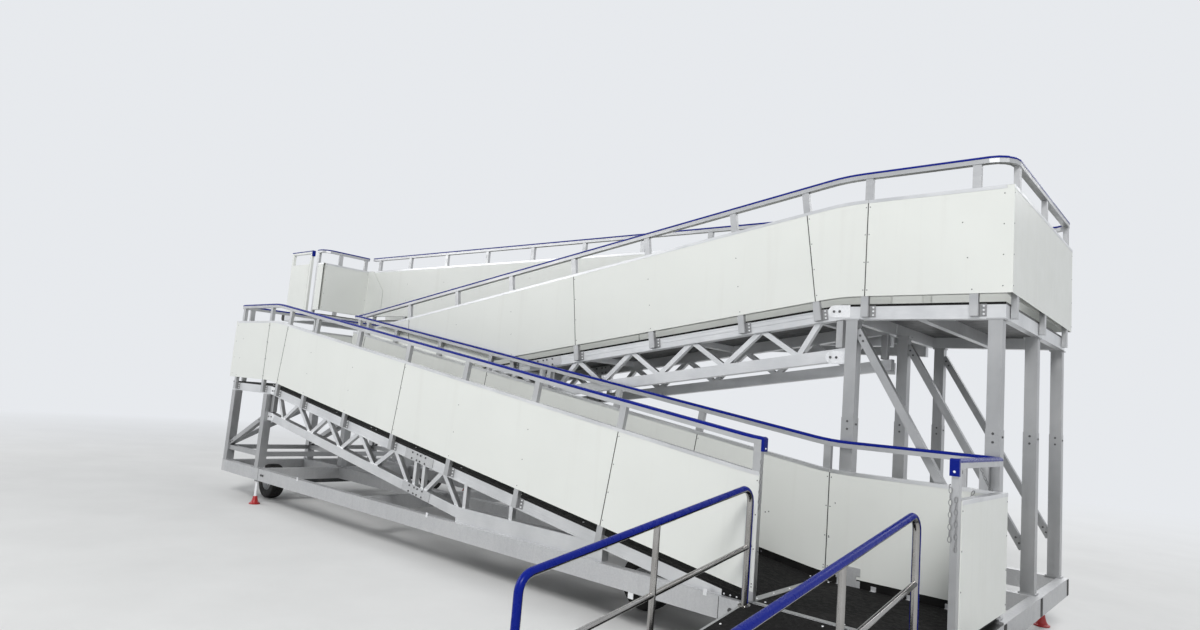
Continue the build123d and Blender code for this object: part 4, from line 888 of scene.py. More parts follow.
at_posts = np.array((WALL_LOW + 0.03, 0.33, 0.6))
at_joints = np.linspace(WALL_LOW + 0.05, WALL_TOP - 0.06, 4)
for name, walk, x0, x1, line, outward, joints, posts, body in walls:
    for side, depth in ((1, SIDE_GAP), (-1, INNER)):
        y, out = line - outward * depth, (0, side * outward, 0)
        for x_post in posts:
            if x0 < x_post < x1:
                x, z = np.array([beside(walk, x_post, h) for h in at_posts]).T
                add_screws(body, x, y, z, out)
        for joint in joints:
            x, z = np.array([beside(walk, joint + EDGE_IN, h) for h in at_joints]).T
            add_screws(body, x, y, z, out)
        for x in (x0 + EDGE_IN, x1 - EDGE_IN):
            add_screws(body, x, y, level(np.array(x), walk) + at_joints, out)
for name, x, inward, y0, y1, deck, body in end_walls:
    for y in (y0 + EDGE_IN, y1 - EDGE_IN):
        add_screws(body, x, y, deck + at_joints, (-inward, 0, 0))
        add_screws(body, x + inward * WALL, y, deck + at_joints, (inward, 0, 0))
print("screw rows:", sum(len(rows) for rows in screw_rows.values()))

# %% Screws become pieces
for number, ((body, out), rows) in enumerate(screw_rows.items()):
    shape = stamped(screw(WALL_SCREW), np.concatenate(rows), out, (0, 0, 1))
    piece(f"wall_screws_{body}_{number}", shape, screw_dark, body)

# %% [markdown]
# ## Feet of the rail posts
# Each post stands on the outer face of the walkway's beam. A galvanised angle ties it there: one leg lies
# on the beam with three bolts in an upright row, the other leg lies against the post's side.

# %% Post brackets
BRACKET_W, BRACKET_H, BRACKET_T = 0.05, 0.092, 0.005
POST_HALF = 0.03


def plate_on(along, up, out, size):
    """Broken-edged plate of a size (along, up, out) with its near corner at a place (along, up, out)."""
    length, width, height = size
    points, faces = plate(length, width, height, min(0.0012, height / 4))
    return points + (along + length / 2, up + width / 2, out), faces


leg = plate_on(POST_HALF, -BRACKET_H / 2, 0, (BRACKET_W, BRACKET_H, BRACKET_T))
upstand = plate_on(POST_HALF + 0.0002, -BRACKET_H / 2, BRACKET_T / 2, (BRACKET_T, BRACKET_H, 0.036))
angle_shape = together(leg, upstand)
bolt_rise = np.array([-0.03, 0.0, 0.03])
LEVEL_WALLS = ("turn_near", "turn_far", "top_near", "top_far")
FEET = {"base": -0.0565, "bridge": -0.075}
LOWEST_FOOT = 0.56
spots = defaultdict(list)
for name, walk, x0, x1, line, outward, joints, posts, body in walls:
    if body not in FEET or "entrance" in name:
        continue
    for x in posts:
        slope = 0.0 if name in LEVEL_WALLS else lean(walk)
        height = FEET[body] * cos(slope)
        place = (x - height * sin(slope), line - outward * DECK_IN, straight(x, walk) + height * cos(slope))
        if place[2] > LOWEST_FOOT:
            spots[body].append((place, slope, outward))

# %% Post brackets become pieces
for body, rows in spots.items():
    parts, bolts = [], []
    for place, slope, outward in rows:
        out, along, up = on_slope(slope, outward)
        parts.append(stamped(angle_shape, [place], out, along))
        middle = np.array(place) + along * (POST_HALF + 0.03) + out * BRACKET_T
        bolts.append(stamped(bolt(0.0085), middle + bolt_rise[:, None] * up, out, along))
    piece(f"post_brackets_{body}", parts, zinc_dark, body)
    piece(f"post_bolts_{body}", bolts, zinc_bright, body)
print("post brackets:", {body: len(rows) for body, rows in spots.items()})

# %% [markdown]
# ## Plates on the lattice girders
# The two lower flights are bolted together from two lengths each. Splice plates with eight bolts join
# the chords there, and end plates with a rounded end tie the chords to the columns.

# %% Splice plates
SPLICE, SPLICE_L, SPLICE_H, PLATE_T = 3.378, 0.48, 0.092, 0.006
BOLT_ALONG, BOLT_UP = (-0.113, -0.028, 0.028, 0.113), (-0.03, 0.03)
UPPER, LOWER, CHORD_W = -0.0675, -0.40, 0.08
grid = np.array([(a, b) for a in BOLT_ALONG for b in BOLT_UP])
splice = plate_on(-SPLICE_L / 2, -SPLICE_H / 2, 0, (SPLICE_L, SPLICE_H, PLATE_T))
splices, splice_bolts = [], []
for walk, x, lane_number in ((LOW, x_turn + SPLICE, 0), (MID, x_foot - SPLICE, 1)):
    for y_face, face_outward in beam_faces(lane_number):
        for y, outward in ((y_face, face_outward), (y_face - face_outward * CHORD_W, -face_outward)):
            out, along, up = on_slope(lean(walk), outward)
            for height in (UPPER, LOWER):
                place = np.array((x, y, straight(x, walk) + height))
                splices.append(stamped(splice, [place], out, along))
                where = place + grid[:, :1] * along + grid[:, 1:] * up + out * PLATE_T
                splice_bolts.append(stamped(bolt(0.01), where, out, along))
piece("splice_plates", splices, zinc_frame, "base")
piece("splice_bolts", splice_bolts, bolt_dark, "base")
print("splice plates:", len(splices))

# %% Plates cut to an outline
def cut_plate(outline, place, along, out, thick):
    """Flat plate of an outline (along, up), its face edge broken, lying on a surface at a place."""
    outline = np.asarray(outline, float)
    middle = outline.mean(0)
    small = middle + (outline - middle) * (1 - 0.0015 / np.abs(outline - middle).max())
    rings = [np.c_[outline, np.zeros(len(outline))], np.c_[outline, np.full(len(outline), thick - 0.001)],
             np.c_[small, np.full(len(outline), thick)]]
    return stamped((np.concatenate(rings), grid_faces(3, len(outline))), [place], out, along)


def tongue(length, height, steps=9):
    """Outline of a plate from 0 to its length whose far end is a half circle."""
    turn = np.linspace(-pi / 2, pi / 2, steps)
    round_end = [(length - height / 2 + height / 2 * cos(a), height / 2 * sin(a)) for a in turn]
    return [(0, -height / 2)] + round_end + [(0, height / 2)]


end_plates, end_bolts = [], []


def end_plate(x, y, z, way, outward, length, height, bolts_at):
    """End plate from a column: its rounded end points along way, with bolts at distances from x."""
    out = np.array((0.0, outward, 0.0))
    along = np.array((float(-outward), 0.0, 0.0))
    flip = -outward * way
    outline = [(flip * a, b) for a, b in tongue(length, height)]
    outline = outline if flip > 0 else outline[::-1]
    place = np.array((x, y, z))
    end_plates.append(cut_plate(outline, place, along, out, PLATE_T))
    where = place + np.array([(way * a, 0, 0) for a in bolts_at]) + out * PLATE_T
    end_bolts.append(stamped(bolt(0.011), where, out, along))


# %% End plates on the girders
END_PLATES = [
    (1, x_foot + 0.066, z_top - 0.053, -1, 0.185, 0.104, (0.087, 0.135)),
    (1, x_foot + 0.063, z_top - 0.432, -1, 0.188, 0.106, (0.095, 0.146)),
    (0, x_turn + 0.004, z_turn - 0.41, 1, 0.17, 0.1, (0.04, 0.105)),
    (0, x_turn + 0.004, z_turn - 0.075, 1, 0.15, 0.098, (0.05, 0.1)),
]
for lane_number, x, z, way, length, height, bolts_at in END_PLATES:
    for y, outward in beam_faces(lane_number):
        end_plate(x, y, z, way, outward, length, height, bolts_at)
end_posts = [stamped(plate(0.06, 0.06, 0.232, 0.004), [(x, y - outward * CHORD_W / 2, z_deck - 0.352)], *UP)
             for lane_number, x, z_deck in ((1, x_foot - 0.022, z_top), (0, x_turn + 0.06, z_turn))
             for y, outward in beam_faces(lane_number)]
piece("girder_end_posts", end_posts, alu_upright_painted_shade, "base")
RIBS = ((-0.03, -0.018), (-0.066, -0.062), (-0.117, -0.105))
ribs = []
for walk, lane_number, start, stop in (
        (LOW, 0, x_turn + 0.16, x_foot - 1.05), (MID, 1, x_turn + 0.02, x_foot - 0.13)):
    for y, outward in beam_faces(lane_number):
        y0, y1 = sorted((y - outward * 0.002, y + outward * 0.0022))
        ribs += [ribbon(walk, start, stop, broken(y0, y1, low, high), straight) for low, high in RIBS]
piece("stringer_ribs", ribs, alu_long, "base")
piece("girder_end_plates", end_plates, zinc_bright, "base")
piece("girder_end_bolts", end_bolts, bolt_dark, "base")
print("end plates:", len(end_plates))

# %% [markdown]
# ## Columns and braces
# The towers and trestles are bolted structures. Their feet sit on base plates, the upper tubes plug into
# the lower ones at a bolted joint, and two bolts hold each end of the diagonal braces.

# %% Column feet and joints
FRAME_TOP, COLUMN = 0.46, 0.1
JOINT_Z = 1.75
rows_tower = [lines[1] + COLUMN / 2, lines[2] + COLUMN / 2, lines[3] - COLUMN / 2]
rows_trestle = [lines[0] + COLUMN / 2, lines[1] + COLUMN / 2, lines[2] - COLUMN / 2]
x_tower = (x_foot + 0.052 + COLUMN / 2, x_end - 0.055 - COLUMN / 2)
x_trestle = (x_low_end + 0.16 + COLUMN / 2, x_turn - COLUMN / 2)
towers = [(x, y) for x in x_tower for y in rows_tower]
trestles = [(x, y) for x in x_trestle for y in rows_trestle]
foot_bolts = [(x + a, y + b, FRAME_TOP + rise) for columns, rise in ((towers, 0.012), (trestles, 0.01))
              for x, y in columns for a in (-0.0575, 0.0575) for b in (-0.03, 0.03)]
foot_plates = [stamped(plate(0.13, 0.1, 0.01), [(x, y, FRAME_TOP)], *UP) for x, y in trestles]
piece("column_foot_plates", foot_plates, zinc_frame, "base")
piece("column_foot_bolts", stamped(bolt(0.0065), foot_bolts, *UP), zinc_bright, "base")
parts = []
for out in (-1, 1):
    places = [(x, y + out * COLUMN / 2, JOINT_Z - drop) for x, y in towers for drop in (0.03, 0.09)]
    parts.append(stamped(bolt(0.009), places, *facing(out)))
    places = [(x + out * COLUMN / 2, y, JOINT_Z - 0.05) for x, y in towers]
    parts.append(stamped(bolt(0.009), places, (out, 0, 0), (0, out, 0)))
piece("column_joint_bolts", parts, bolt_dark, "base")
print("column bolts:", len(foot_bolts), "at the feet")

# %% Bolts at the braces' ends
BRACE_HALF = 0.03
brace_bolts = []


def brace_end(x, z, x_other, z_other, y_row):
    """Two bolts through both faces of a brace near its end, in line with its other end."""
    length = np.hypot(x_other - x, z_other - z)
    line = ((x_other - x) / length, (z_other - z) / length)
    for outward in (-1, 1):
        places = [(x + line[0] * a, y_row + outward * BRACE_HALF, z + line[1] * a) for a in (0.05, 0.1)]
        brace_bolts.append(stamped(bolt(0.009), places, *facing(outward)))


BRACES = (
    (rows_tower, (x_tower[0] + COLUMN / 2 - 0.01, z_top - 0.21),
     (x_tower[1] - COLUMN / 2 + 0.01, FRAME_TOP + 0.345)),
    (rows_trestle, (x_trestle[0] + COLUMN / 2 - 0.02, FRAME_TOP + 0.23),
     (x_trestle[1] - COLUMN / 2 + 0.02, z_turn - 0.43)),
)
for rows, a, b in BRACES:
    for y_row in rows:
        brace_end(*a, *b, y_row)
        brace_end(*b, *a, y_row)
piece("brace_bolts", brace_bolts, bolt_dark, "base")
print("brace bolts:", 2 * len(brace_bolts))

# %% [markdown]
# ## Base frame
# The long beams are hot-dip galvanised box sections, bolted together from lengths, so a dark seam and two
# bolt heads show at each joint. Dark caps close their ends, small bright tabs sit on the near beam, and a
# bright strip runs along the entrance landing's edge.

# %% Joint plates and end caps
BEAM_LOW, BEAM_TOP = 0.31, 0.46
beam_z = (BEAM_LOW + BEAM_TOP) / 2
seam = plate_on(-0.0025, -0.0735, -0.002, (0.005, 0.147, 0.0028))
seams, joint_bolts = [], []
for x in (-3.234, 3.724):
    for face_y, outward in ((lines[0], -1), (lines[3], 1)):
        place = np.array((x, face_y, beam_z))
        seams.append(stamped(seam, [place], *facing(outward)))
        places = [place + (a, 0, 0.003) for a in (0.092, 0.142)]
        joint_bolts.append(stamped(bolt(0.016), places, *facing(outward)))
piece("frame_seams", seams, seam_black, "base")
piece("frame_joint_bolts", joint_bolts, bolt_dark, "base")
tab = plate_on(-0.025, -0.024, -0.002, (0.05, 0.048, 0.006))
clip = plate_on(-0.015, -0.02, 0, (0.03, 0.045, 0.005))
tabs = [stamped(tab, [(2.965, lines[0] + 0.004, BEAM_LOW - 0.022)], *facing(-1)),
        stamped(clip, [(x, lines[0], BEAM_TOP) for x in (3.615, 0.4, -2.2)], *facing(-1))]
piece("frame_tabs", tabs, zinc_bright, "base")
caps = [stamped(plate(0.07, 0.14, 0.004, 0.002), [(x, y, beam_z)], (way, 0, 0), (0, way, 0))
        for x, way in ((x_end, 1), (x_low_end + 0.15, -1))
        for y in (lines[0] + 0.04, lines[1], lines[2], lines[3] - 0.04)]
piece("beam_end_caps", caps, seam_black, "base")
strip = plate_on(0, 0, 0, (x_end - x_foot - 0.01, 0.012, 0.004))
strip = stamped(strip, [(x_foot + 0.005, lines[0], z_entry - 0.0125)], *facing(-1))
piece("entrance_edge_angle", strip, zinc_bright, "base")
print("joint bolts:", 2 * len(joint_bolts), "end caps:", len(caps))

# %% [markdown]
# ## Wheels
# The tyres are solid-looking trailer tyres with round shoulders, ribs and short cross cuts. A tyre is a
# ring whose outline (radius, across) repeats round the axle. The tread is cut by lowering the radius
# where a groove or a cut passes, so one formula gives the whole surface.

# %% Tyres
WHEEL_R, TYRE_HALF, RIM_R = 0.23, 0.085, 0.12
TYRE_STEPS, CUTS = 144, 36
centres = {}
for name in nodes:
    if name.startswith("tyre_"):
        low_corner, high_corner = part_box(name)
        centres[name] = (low_corner + high_corner) / 2
shoulder = np.linspace(0, pi / 2, 6)
crown = np.linspace(-1, 1, 23)
half_outline = [(RIM_R + 0.001, TYRE_HALF - 0.012), (0.135, TYRE_HALF - 0.002), (0.165, TYRE_HALF),
                (0.19, TYRE_HALF - 0.001)]
curve = [(0.205 + 0.018 * sin(a), TYRE_HALF - 0.022 + 0.021 * cos(a)) for a in shoulder]
tread = [(WHEEL_R - 0.0045 * t * t, -t * (TYRE_HALF - 0.024)) for t in crown]
outline = np.array(half_outline + curve + tread + [(r, -t) for r, t in reversed(half_outline + curve)])
GROOVES = (-0.036, -0.012, 0.012, 0.036)


def tyre(centre):
    """Ring of radius(angle, across): outline radius less the grooves, less cuts that repeat 36 times."""
    angle = np.linspace(0, 2 * pi, TYRE_STEPS, endpoint=False)[:, None]
    radius, across = outline.T
    ribbed = radius > 0.222
    groove = np.min(np.abs(across[:, None] - np.array(GROOVES)), axis=1) < 0.0035
    wave = np.cos(CUTS * angle + 9 * np.abs(across) / TYRE_HALF) > 0.55
    cut = wave & ribbed & (np.abs(across) > 0.03) & ~groove
    r = radius - np.where(groove & ribbed, 0.007, 0) - np.where(cut, 0.004, 0)
    rows = np.broadcast_arrays(r * np.cos(angle), across, r * np.sin(angle))
    return np.stack(rows, -1).reshape(-1, 3) + np.array(centre), closed_grid(TYRE_STEPS, len(outline))


for name, centre in centres.items():
    made = piece(f"{name}_rubber", tyre(centre), tyre_black, name.replace("tyre", "wheel"), 32)
    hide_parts(name)
print("tyre faces:", len(made.data.polygons))

# %% [markdown]
# ## Rims
# A pressed steel rim has a rolled lip, a dished disc, five nuts on a circle and a grease cap over the
# bearing. All but the nuts is one turned outline.

# %% Rims
RIM_HALF, DISC, CAP, AXIS_R = 0.075, 0.02, 0.06, 0.0002
lip = [(0.1185, RIM_HALF), (0.1195, RIM_HALF - 0.004), (0.1195, -RIM_HALF + 0.004), (0.1185, -RIM_HALF)]
inside = [(0.108, -RIM_HALF), (0.107, DISC - 0.004), (0.055, DISC - 0.002), (AXIS_R, DISC - 0.002)]
face = [(AXIS_R, CAP + 0.012), (0.018, CAP + 0.011), (0.03, CAP + 0.006), (0.034, CAP - 0.004),
        (0.035, DISC + 0.03), (0.052, DISC + 0.026), (0.056, DISC + 0.012), (0.085, DISC + 0.012),
        (0.094, DISC + 0.02), (0.1, DISC + 0.034), (0.107, DISC + 0.042), (0.1105, RIM_HALF - 0.006),
        (0.113, RIM_HALF)]
NUT_TURNS = np.arange(5) * 2 * pi / 5 + 0.3
for name, centre in centres.items():
    outward = 1 if "far" in name else -1
    profile = [(r, outward * t) for r, t in face + lip + inside]
    body, node = name.replace("tyre", "wheel"), name.replace("tyre", "rim")
    rim = piece(f"{node}_pressed", turned(profile, centre, "y", 64), rim_grey, body, 35)
    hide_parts(node)
    places = [centre + Vector((0.07 * cos(a), outward * (DISC + 0.012), 0.07 * sin(a))) for a in NUT_TURNS]
    piece(f"{body}_nuts", stamped(bolt(0.0105), places, *facing(outward)), zinc_bright, body)
print("rims:", len(centres))

# %% [markdown]
# ## Screw jacks
# Four jacks take the machine's weight off its wheels. The red foot flares out like a bell, and the bright
# leg over it is a screw. The thread is a radius that rises and falls once a pitch and shifts with the
# angle, which makes the ridge climb.

# %% Jacks
LEG_R, THREAD, PITCH = 0.02, 0.0018, 0.011
BELL = [(0.0002, 0.0), (0.066, 0.0), (0.069, 0.003), (0.069, 0.010), (0.066, 0.013), (0.056, 0.016),
        (0.045, 0.030), (0.036, 0.052), (0.030, 0.078), (0.027, 0.096), (0.0245, 0.1), (0.0002, 0.1)]
COLLAR = [(0.0225, 0.0), (0.036, 0.0), (0.038, 0.003), (0.038, 0.016), (0.036, 0.019), (0.0225, 0.019)]


def thread(centre, low, high):
    """Screw surface: radius = leg radius less a wave of (height / pitch - angle / a full turn)."""
    z = np.linspace(low, high, int((high - low) / PITCH * 6))[:, None]
    angle = np.linspace(0, 2 * pi, 20, endpoint=False)[None]
    wave = 0.5 + 0.5 * np.cos(2 * pi * (z / PITCH) - angle)
    r = LEG_R - THREAD * wave
    rows = np.broadcast_arrays(centre[0] + r * np.cos(angle), centre[1] + r * np.sin(angle), z)
    return np.stack(rows, -1).reshape(-1, 3), grid_faces(z.shape[0], 20)


for number in range(1, 5):
    name = f"jack_{number}"
    low_corner, high_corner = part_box(name)
    middle = (low_corner + high_corner) / 2
    bell = piece(f"{name}_foot", turned(BELL, (middle.x, middle.y, 0.0), "z", 48), jack_red, name, 30)
    leg = piece(f"{name}_screw", thread(middle, 0.0985, high_corner.z - 0.001), zinc_bright, name, 40)
    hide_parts(name)
    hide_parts(name)
    shape = turned(COLLAR, (middle.x, middle.y, BEAM_LOW - 0.0195), "z", 32)
    piece(f"{name}_collar", shape, zinc_dark, "base", 30)
print("jacks: 4, thread of", round(PITCH * 1000), "mm pitch")

# %% [markdown]
# ## Handrails of the entry ramp
# Two bent tubes of stainless steel run beside the entry ramp. The blue grip covers the upper, outer half
# of each. A tube is a circle carried along a path of straight runs and round corners, so it is smooth
# where the frame's own tube has flats.

# %% Rounded paths and tubes
def rounded(points, radius, steps=14):
    """Path through points whose corners are arcs: centre line walks in, turns by equal angles, walks out."""
    points = np.asarray(points, float)
    path = [points[:1]]
    for a, b, c in zip(points, points[1:], points[2:]):
        go, leave = (b - a) / np.linalg.norm(b - a), (c - b) / np.linalg.norm(c - b)
        turn = np.arccos(np.clip(go @ leave, -1, 1))
        aside = (leave - go * cos(turn)) / sin(turn)
        part = np.linspace(0, turn, steps)[:, None]
        first = b - go * radius * np.tan(turn / 2)
        path.append(first + go * radius * np.sin(part) + aside * radius * (1 - np.cos(part)))
    return np.concatenate(path + [points[-1:]])


def circle(radius, steps=24, start=0.0, end=1.0):
    """Points (across, up) round a circle, from one share of a turn to another."""
    a = 2 * pi * np.linspace(start, end, steps, endpoint=end - start < 0.99)
    return np.stack([radius * np.cos(a), radius * np.sin(a)], -1)


# %% Entry handrails
LOOP_R, LOOP_H, LOOP_KNEE = 0.021, 0.77, 0.38
GRIP_SHARE = (17, 0.49, 1.01)
ya, yb = lines[0] - 0.075, lines[0] - 2.15
middle_y = (ya + yb) / 2
tubes, grips, shoes = [], [], []
half_grip = np.concatenate([circle(LOOP_R + 0.003, *GRIP_SHARE), circle(LOOP_R - 0.0004, *GRIP_SHARE)[::-1]])
for x in (ramp_low.x + 0.03, ramp_high.x - 0.03):
    corners = [(x, y, ramp_level(y) + height) for y, height in ((ya, 0), (ya, LOOP_H), (yb, LOOP_H), (yb, 0))]
    path = rounded(corners, 0.09)
    lifted = np.concatenate([path[:1] + (0, 0, 0.02), path[1:-1], path[-1:] + (0, 0, 0.02)])
    grips.append(carried(half_grip, lifted, (1, 0, 0)))
    knee = [(x, y, ramp_level(y) + LOOP_KNEE) for y in (ya + 0.028, yb - 0.028)]
    post = [(x, middle_y, ramp_level(middle_y) + z) for z in (0.0, LOOP_H - 0.004)]
    tubes += [carried(circle(LOOP_R - thinner), line, (1, 0, 0))
              for thinner, line in ((0, path), (0.004, knee), (0.002, post))]
    shoes += [(x, y, ramp_level(y) + 0.0005) for y in (ya, middle_y, yb)]
rails = piece("entry_handrails", tubes, stainless, "entry", 40)
grip = piece("entry_grips", grips, rail_blue, "entry", 40)
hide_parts("entry_rails")
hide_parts("entry_sleeves")
shoe = together(stack([(0.042, 0, 24), (0.042, 0.005, 24), (0.030, 0.007, 24)]),
                stamped(bolt(0.006), [(0.033, 0, 0.005), (-0.033, 0, 0.005)], *UP))
piece("handrail_shoes", stamped(shoe, shoes, *ON_RAMP), stainless, "entry")
print("handrail path points:", len(path))

# %% [markdown]
# ## Chains
# Short safety chains hang at the entrance. A chain is one small link stamped along a sagging curve,
# every second link turned by a quarter about the line of the chain.

# %% Chain links
def link(length=0.04, width=0.023, wire=0.003, steps=10, sides=4):
    """Oval link: a circle of wire carried round an oval, (along, side, out)."""
    a = np.linspace(0, 2 * pi, steps, endpoint=False)[:, None]
    b = np.linspace(0, 2 * pi, sides, endpoint=False)[None] + pi / 4
    reach_l, reach_w = length / 2 - wire + wire * np.cos(b), width / 2 - wire + wire * np.cos(b)
    rows = np.broadcast_arrays(reach_l * np.cos(a), reach_w * np.sin(a), wire * np.sin(b))
    return np.stack(rows, -1).reshape(-1, 3), closed_grid(steps, sides)


def chain(start, end, spare=1.0):
    """Links along a hanging line: straight for spare 1, else sagging by a parabola of that much length."""
    start, end = np.asarray(start, float), np.asarray(end, float)
    span = np.linalg.norm(end - start)
    sag = span * np.sqrt(max(spare - 1, 0) * 3 / 8)
    t = np.linspace(0, 1, 200)[:, None]
    line = start + (end - start) * t - np.array((0, 0, 1)) * (4 * sag * t * (1 - t))
    walked = np.r_[0, np.cumsum(np.linalg.norm(np.diff(line, axis=0), axis=1))]
    count = max(2, int(walked[-1] / 0.0325))
    at = (np.arange(count) + 0.5) * walked[-1] / count
    middles = np.stack([np.interp(at, walked, line[:, k]) for k in range(3)], -1)
    along = np.stack([np.interp(at + 0.004, walked, line[:, k]) for k in range(3)], -1) - middles
    along /= np.linalg.norm(along, axis=1)[:, None] + 1e-12
    helper = np.where(np.abs(along[:, 2:]) > 0.9, (1.0, 0, 0), (0, 0, 1.0))
    one = np.cross(along, helper)
    one /= np.linalg.norm(one, axis=1)[:, None]
    out = np.where(np.arange(count)[:, None] % 2 == 0, one, np.cross(along, one))
    return stamped(link(), middles, out, along)


# %% Chains of the entrance
x_post, y_post = x_end - 0.024, lines[0] + 0.052
x_rail = x_foot + 0.008
far_y = lines[1] - SIDE_GAP
z_hook, z_low_hook, z_cap = z_entry + 0.925, z_entry + 0.94, z_entry + 1.015
chains = [
    chain((x_rail, lines[0] + 0.004, z_low_hook), (x_rail, lines[0] + 0.006, z_low_hook - 0.33)),
    chain((x_post - 0.022, y_post - 0.036, z_hook), (x_post - 0.022, y_post - 0.036, z_hook - 0.31)),
    chain((x_post + 0.008, y_post - 0.037, z_hook - 0.05), (x_post + 0.012, y_post - 0.037, z_hook - 0.36)),
    chain((x_end - 0.17, far_y - 0.05, z_entry + 1.03), (x_end - 0.056, far_y - 0.17, z_entry + 0.865), 1.03),
    chain((x_end - 0.2, far_y - 0.056, z_entry + 0.84), (x_end - 0.34, far_y - 0.056, z_entry + 0.84), 1.9),
]
piece("entrance_chains", chains, zinc_dark, "base")
hook = rounded([(x_post - 0.034, y_post + dy, z_hook + dz)
                for dy, dz in ((0.004, 0.012), (-0.018, 0.012), (-0.018, -0.008))], 0.006, 6)
latch_place = (x_post, y_post + 0.05, z_entry + 1.012)
latch = stamped(plate(0.05, 0.022, 0.012, 0.003), [latch_place], (1, 0, 0), (0, 1, 0))
piece("chain_hook", carried(circle(0.0035, 10), hook, (1, 0, 0)), zinc_dark, "base", 40)
piece("entrance_latch", latch, seam_black, "base")
cap_screws = [stamped(screw(DECK_SCREW), [(x_post, lines[0], z_cap)], *facing(-1)),
              stamped(screw(DECK_SCREW), [(x_foot + 0.022, lines[0] + 0.029, z_cap)], (1, 0, 0), (0, 1, 0))]
piece("cap_screws", cap_screws, zinc_bright, "base")
print("chains:", len(chains))

# %% [markdown]
# ## Entrance landing's fittings
# Pale angles hold the far wall to the deck, and a notched plate stands at its low end. A black sheet covers
# the low flight's foot, screwed to the beam.

# %% Entrance brackets
x_feet = np.linspace(x_foot + 0.12, x_end - 0.35, 4)
foot_y, foot_z = lines[1] - INNER, z_entry + SHEET
base_leg = plate_on(-0.02, 0, 0, (0.04, 0.022, 0.003))
wall_leg = plate_on(-0.02, 0, 0, (0.04, 0.034, 0.003))
angle_feet = []
for x in x_feet:
    angle_feet += [stamped(base_leg, [(x, foot_y - 0.022, foot_z)], *UP),
                   stamped(wall_leg, [(x, foot_y, foot_z)], *facing(-1))]
piece("entrance_angle_feet", angle_feet, zinc_frame, "base")
GATE = ((0, 0, 0.15, 0.145), (0.1495, 0, 0.03, 0.05), (0.1495, 0.085, 0.03, 0.06),
        (-0.0095, 0.045, 0.01, 0.045))
gate = together(*(plate_on(along, up, 0, (length, width, 0.006)) for along, up, length, width in GATE))
gate = stamped(gate, [(x_foot + 0.1, foot_y - 0.001, foot_z)], *facing(-1))
piece("gate_bracket", gate, zinc_frame, "base")
foot_cover = [(0, 0), (0.212, 0), (0.212, 0.021), (0, 0.052)]
place = (x_foot - 0.262, lines[0] + DECK_IN, FRAME_TOP + 0.001)
out, along = facing(-1)
piece("flight_foot_cover", cut_plate(foot_cover, place, along, out, 0.004), coat_black, "base")
places = [np.array(place) + (a, -0.004, 0.012) for a in (0.02, 0.07, 0.12, 0.17)]
piece("flight_foot_screws", stamped(screw(0.007), places, *facing(-1)), zinc_bright, "base")
print("angle feet:", len(x_feet))

# %% [markdown]
# ## Lifting frame
# The head beam stands on two tubes that slide in the masts. A bolted collar closes each mast's mouth, and a
# round end with one bolt shows on each side of the lifting pin.

# %% Mast collars and pin keepers
mast_low, mast_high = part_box("lift_masts")
x_lift = (mast_low.x + mast_high.x) / 2
mast_rows = (lines[2] + 0.15, lines[3] - 0.15)
COLLAR_OUT, COLLAR_IN, COLLAR_Z = 0.078, 0.0705, (mast_high.z - 0.07, mast_high.z - 0.002)
square = np.array([(-1, -1), (1, -1), (1, 1), (-1, 1)])
collars, collar_bolts = [], []
for y in mast_rows:
    rings = [np.c_[square * size + (x_lift, y), np.full(4, COLLAR_Z[end])]
             for size, end in ((COLLAR_IN, 0), (COLLAR_OUT, 0), (COLLAR_OUT, 1), (COLLAR_IN, 1))]
    collars.append((np.concatenate(rings), closed_grid(4, 4)))
    for out in ((0, -1, 0), (0, 1, 0), (1, 0, 0), (-1, 0, 0)):
        along = np.cross((0, 0, 1.0), out)
        middle = np.array((x_lift, y, mast_high.z - 0.036)) + COLLAR_OUT * np.array(out)
        collar_bolts.append(stamped(bolt(0.009), [middle + s * 0.045 * along for s in (-1, 1)], out, along))
piece("mast_collars", collars, zinc_frame, "base")
piece("mast_collar_bolts", collar_bolts, bolt_dark, "base")
head_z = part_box("lift_frame")[1].z
fork_bolts = []
for y in (mast_rows[0] + 0.09, mast_rows[1] - 0.09):
    for way in (-1, 1):
        places = [(x_lift + way * 0.08, y + b, head_z + a) for a in (-0.125, -0.085) for b in (-0.01, 0.01)]
        fork_bolts.append(stamped(bolt(0.006), places, (way, 0, 0), (0, way, 0)))
piece("fork_bolts", fork_bolts, zinc_bright, "lift")
pin_z = head_z - 0.0394
pin_end = stack([(0.03, 0, 28), (0.03, 0.002, 28), (0.027, 0.004, 28)])
pin_ends = [stamped(pin_end, [(x_lift, y, pin_z)], *facing(out)) for y, out in beam_faces(2)]
pin_bolts = [stamped(bolt(0.008), [(x_lift, y + out * 0.004, pin_z)], *facing(out))
             for y, out in beam_faces(2)]
piece("pin_ends", pin_ends, zinc_frame, "bridge")
piece("pin_end_bolts", pin_bolts, zinc_bright, "bridge")
print("masts at x", round(x_lift, 3), "head at", round(head_z, 3))

# %% [markdown]
# ## Door platform
# The sliding walls have U-shaped handles on their inner faces and a row of screws along their feet. A row
# of bolts in the floor's front edge holds the rubber bumper.

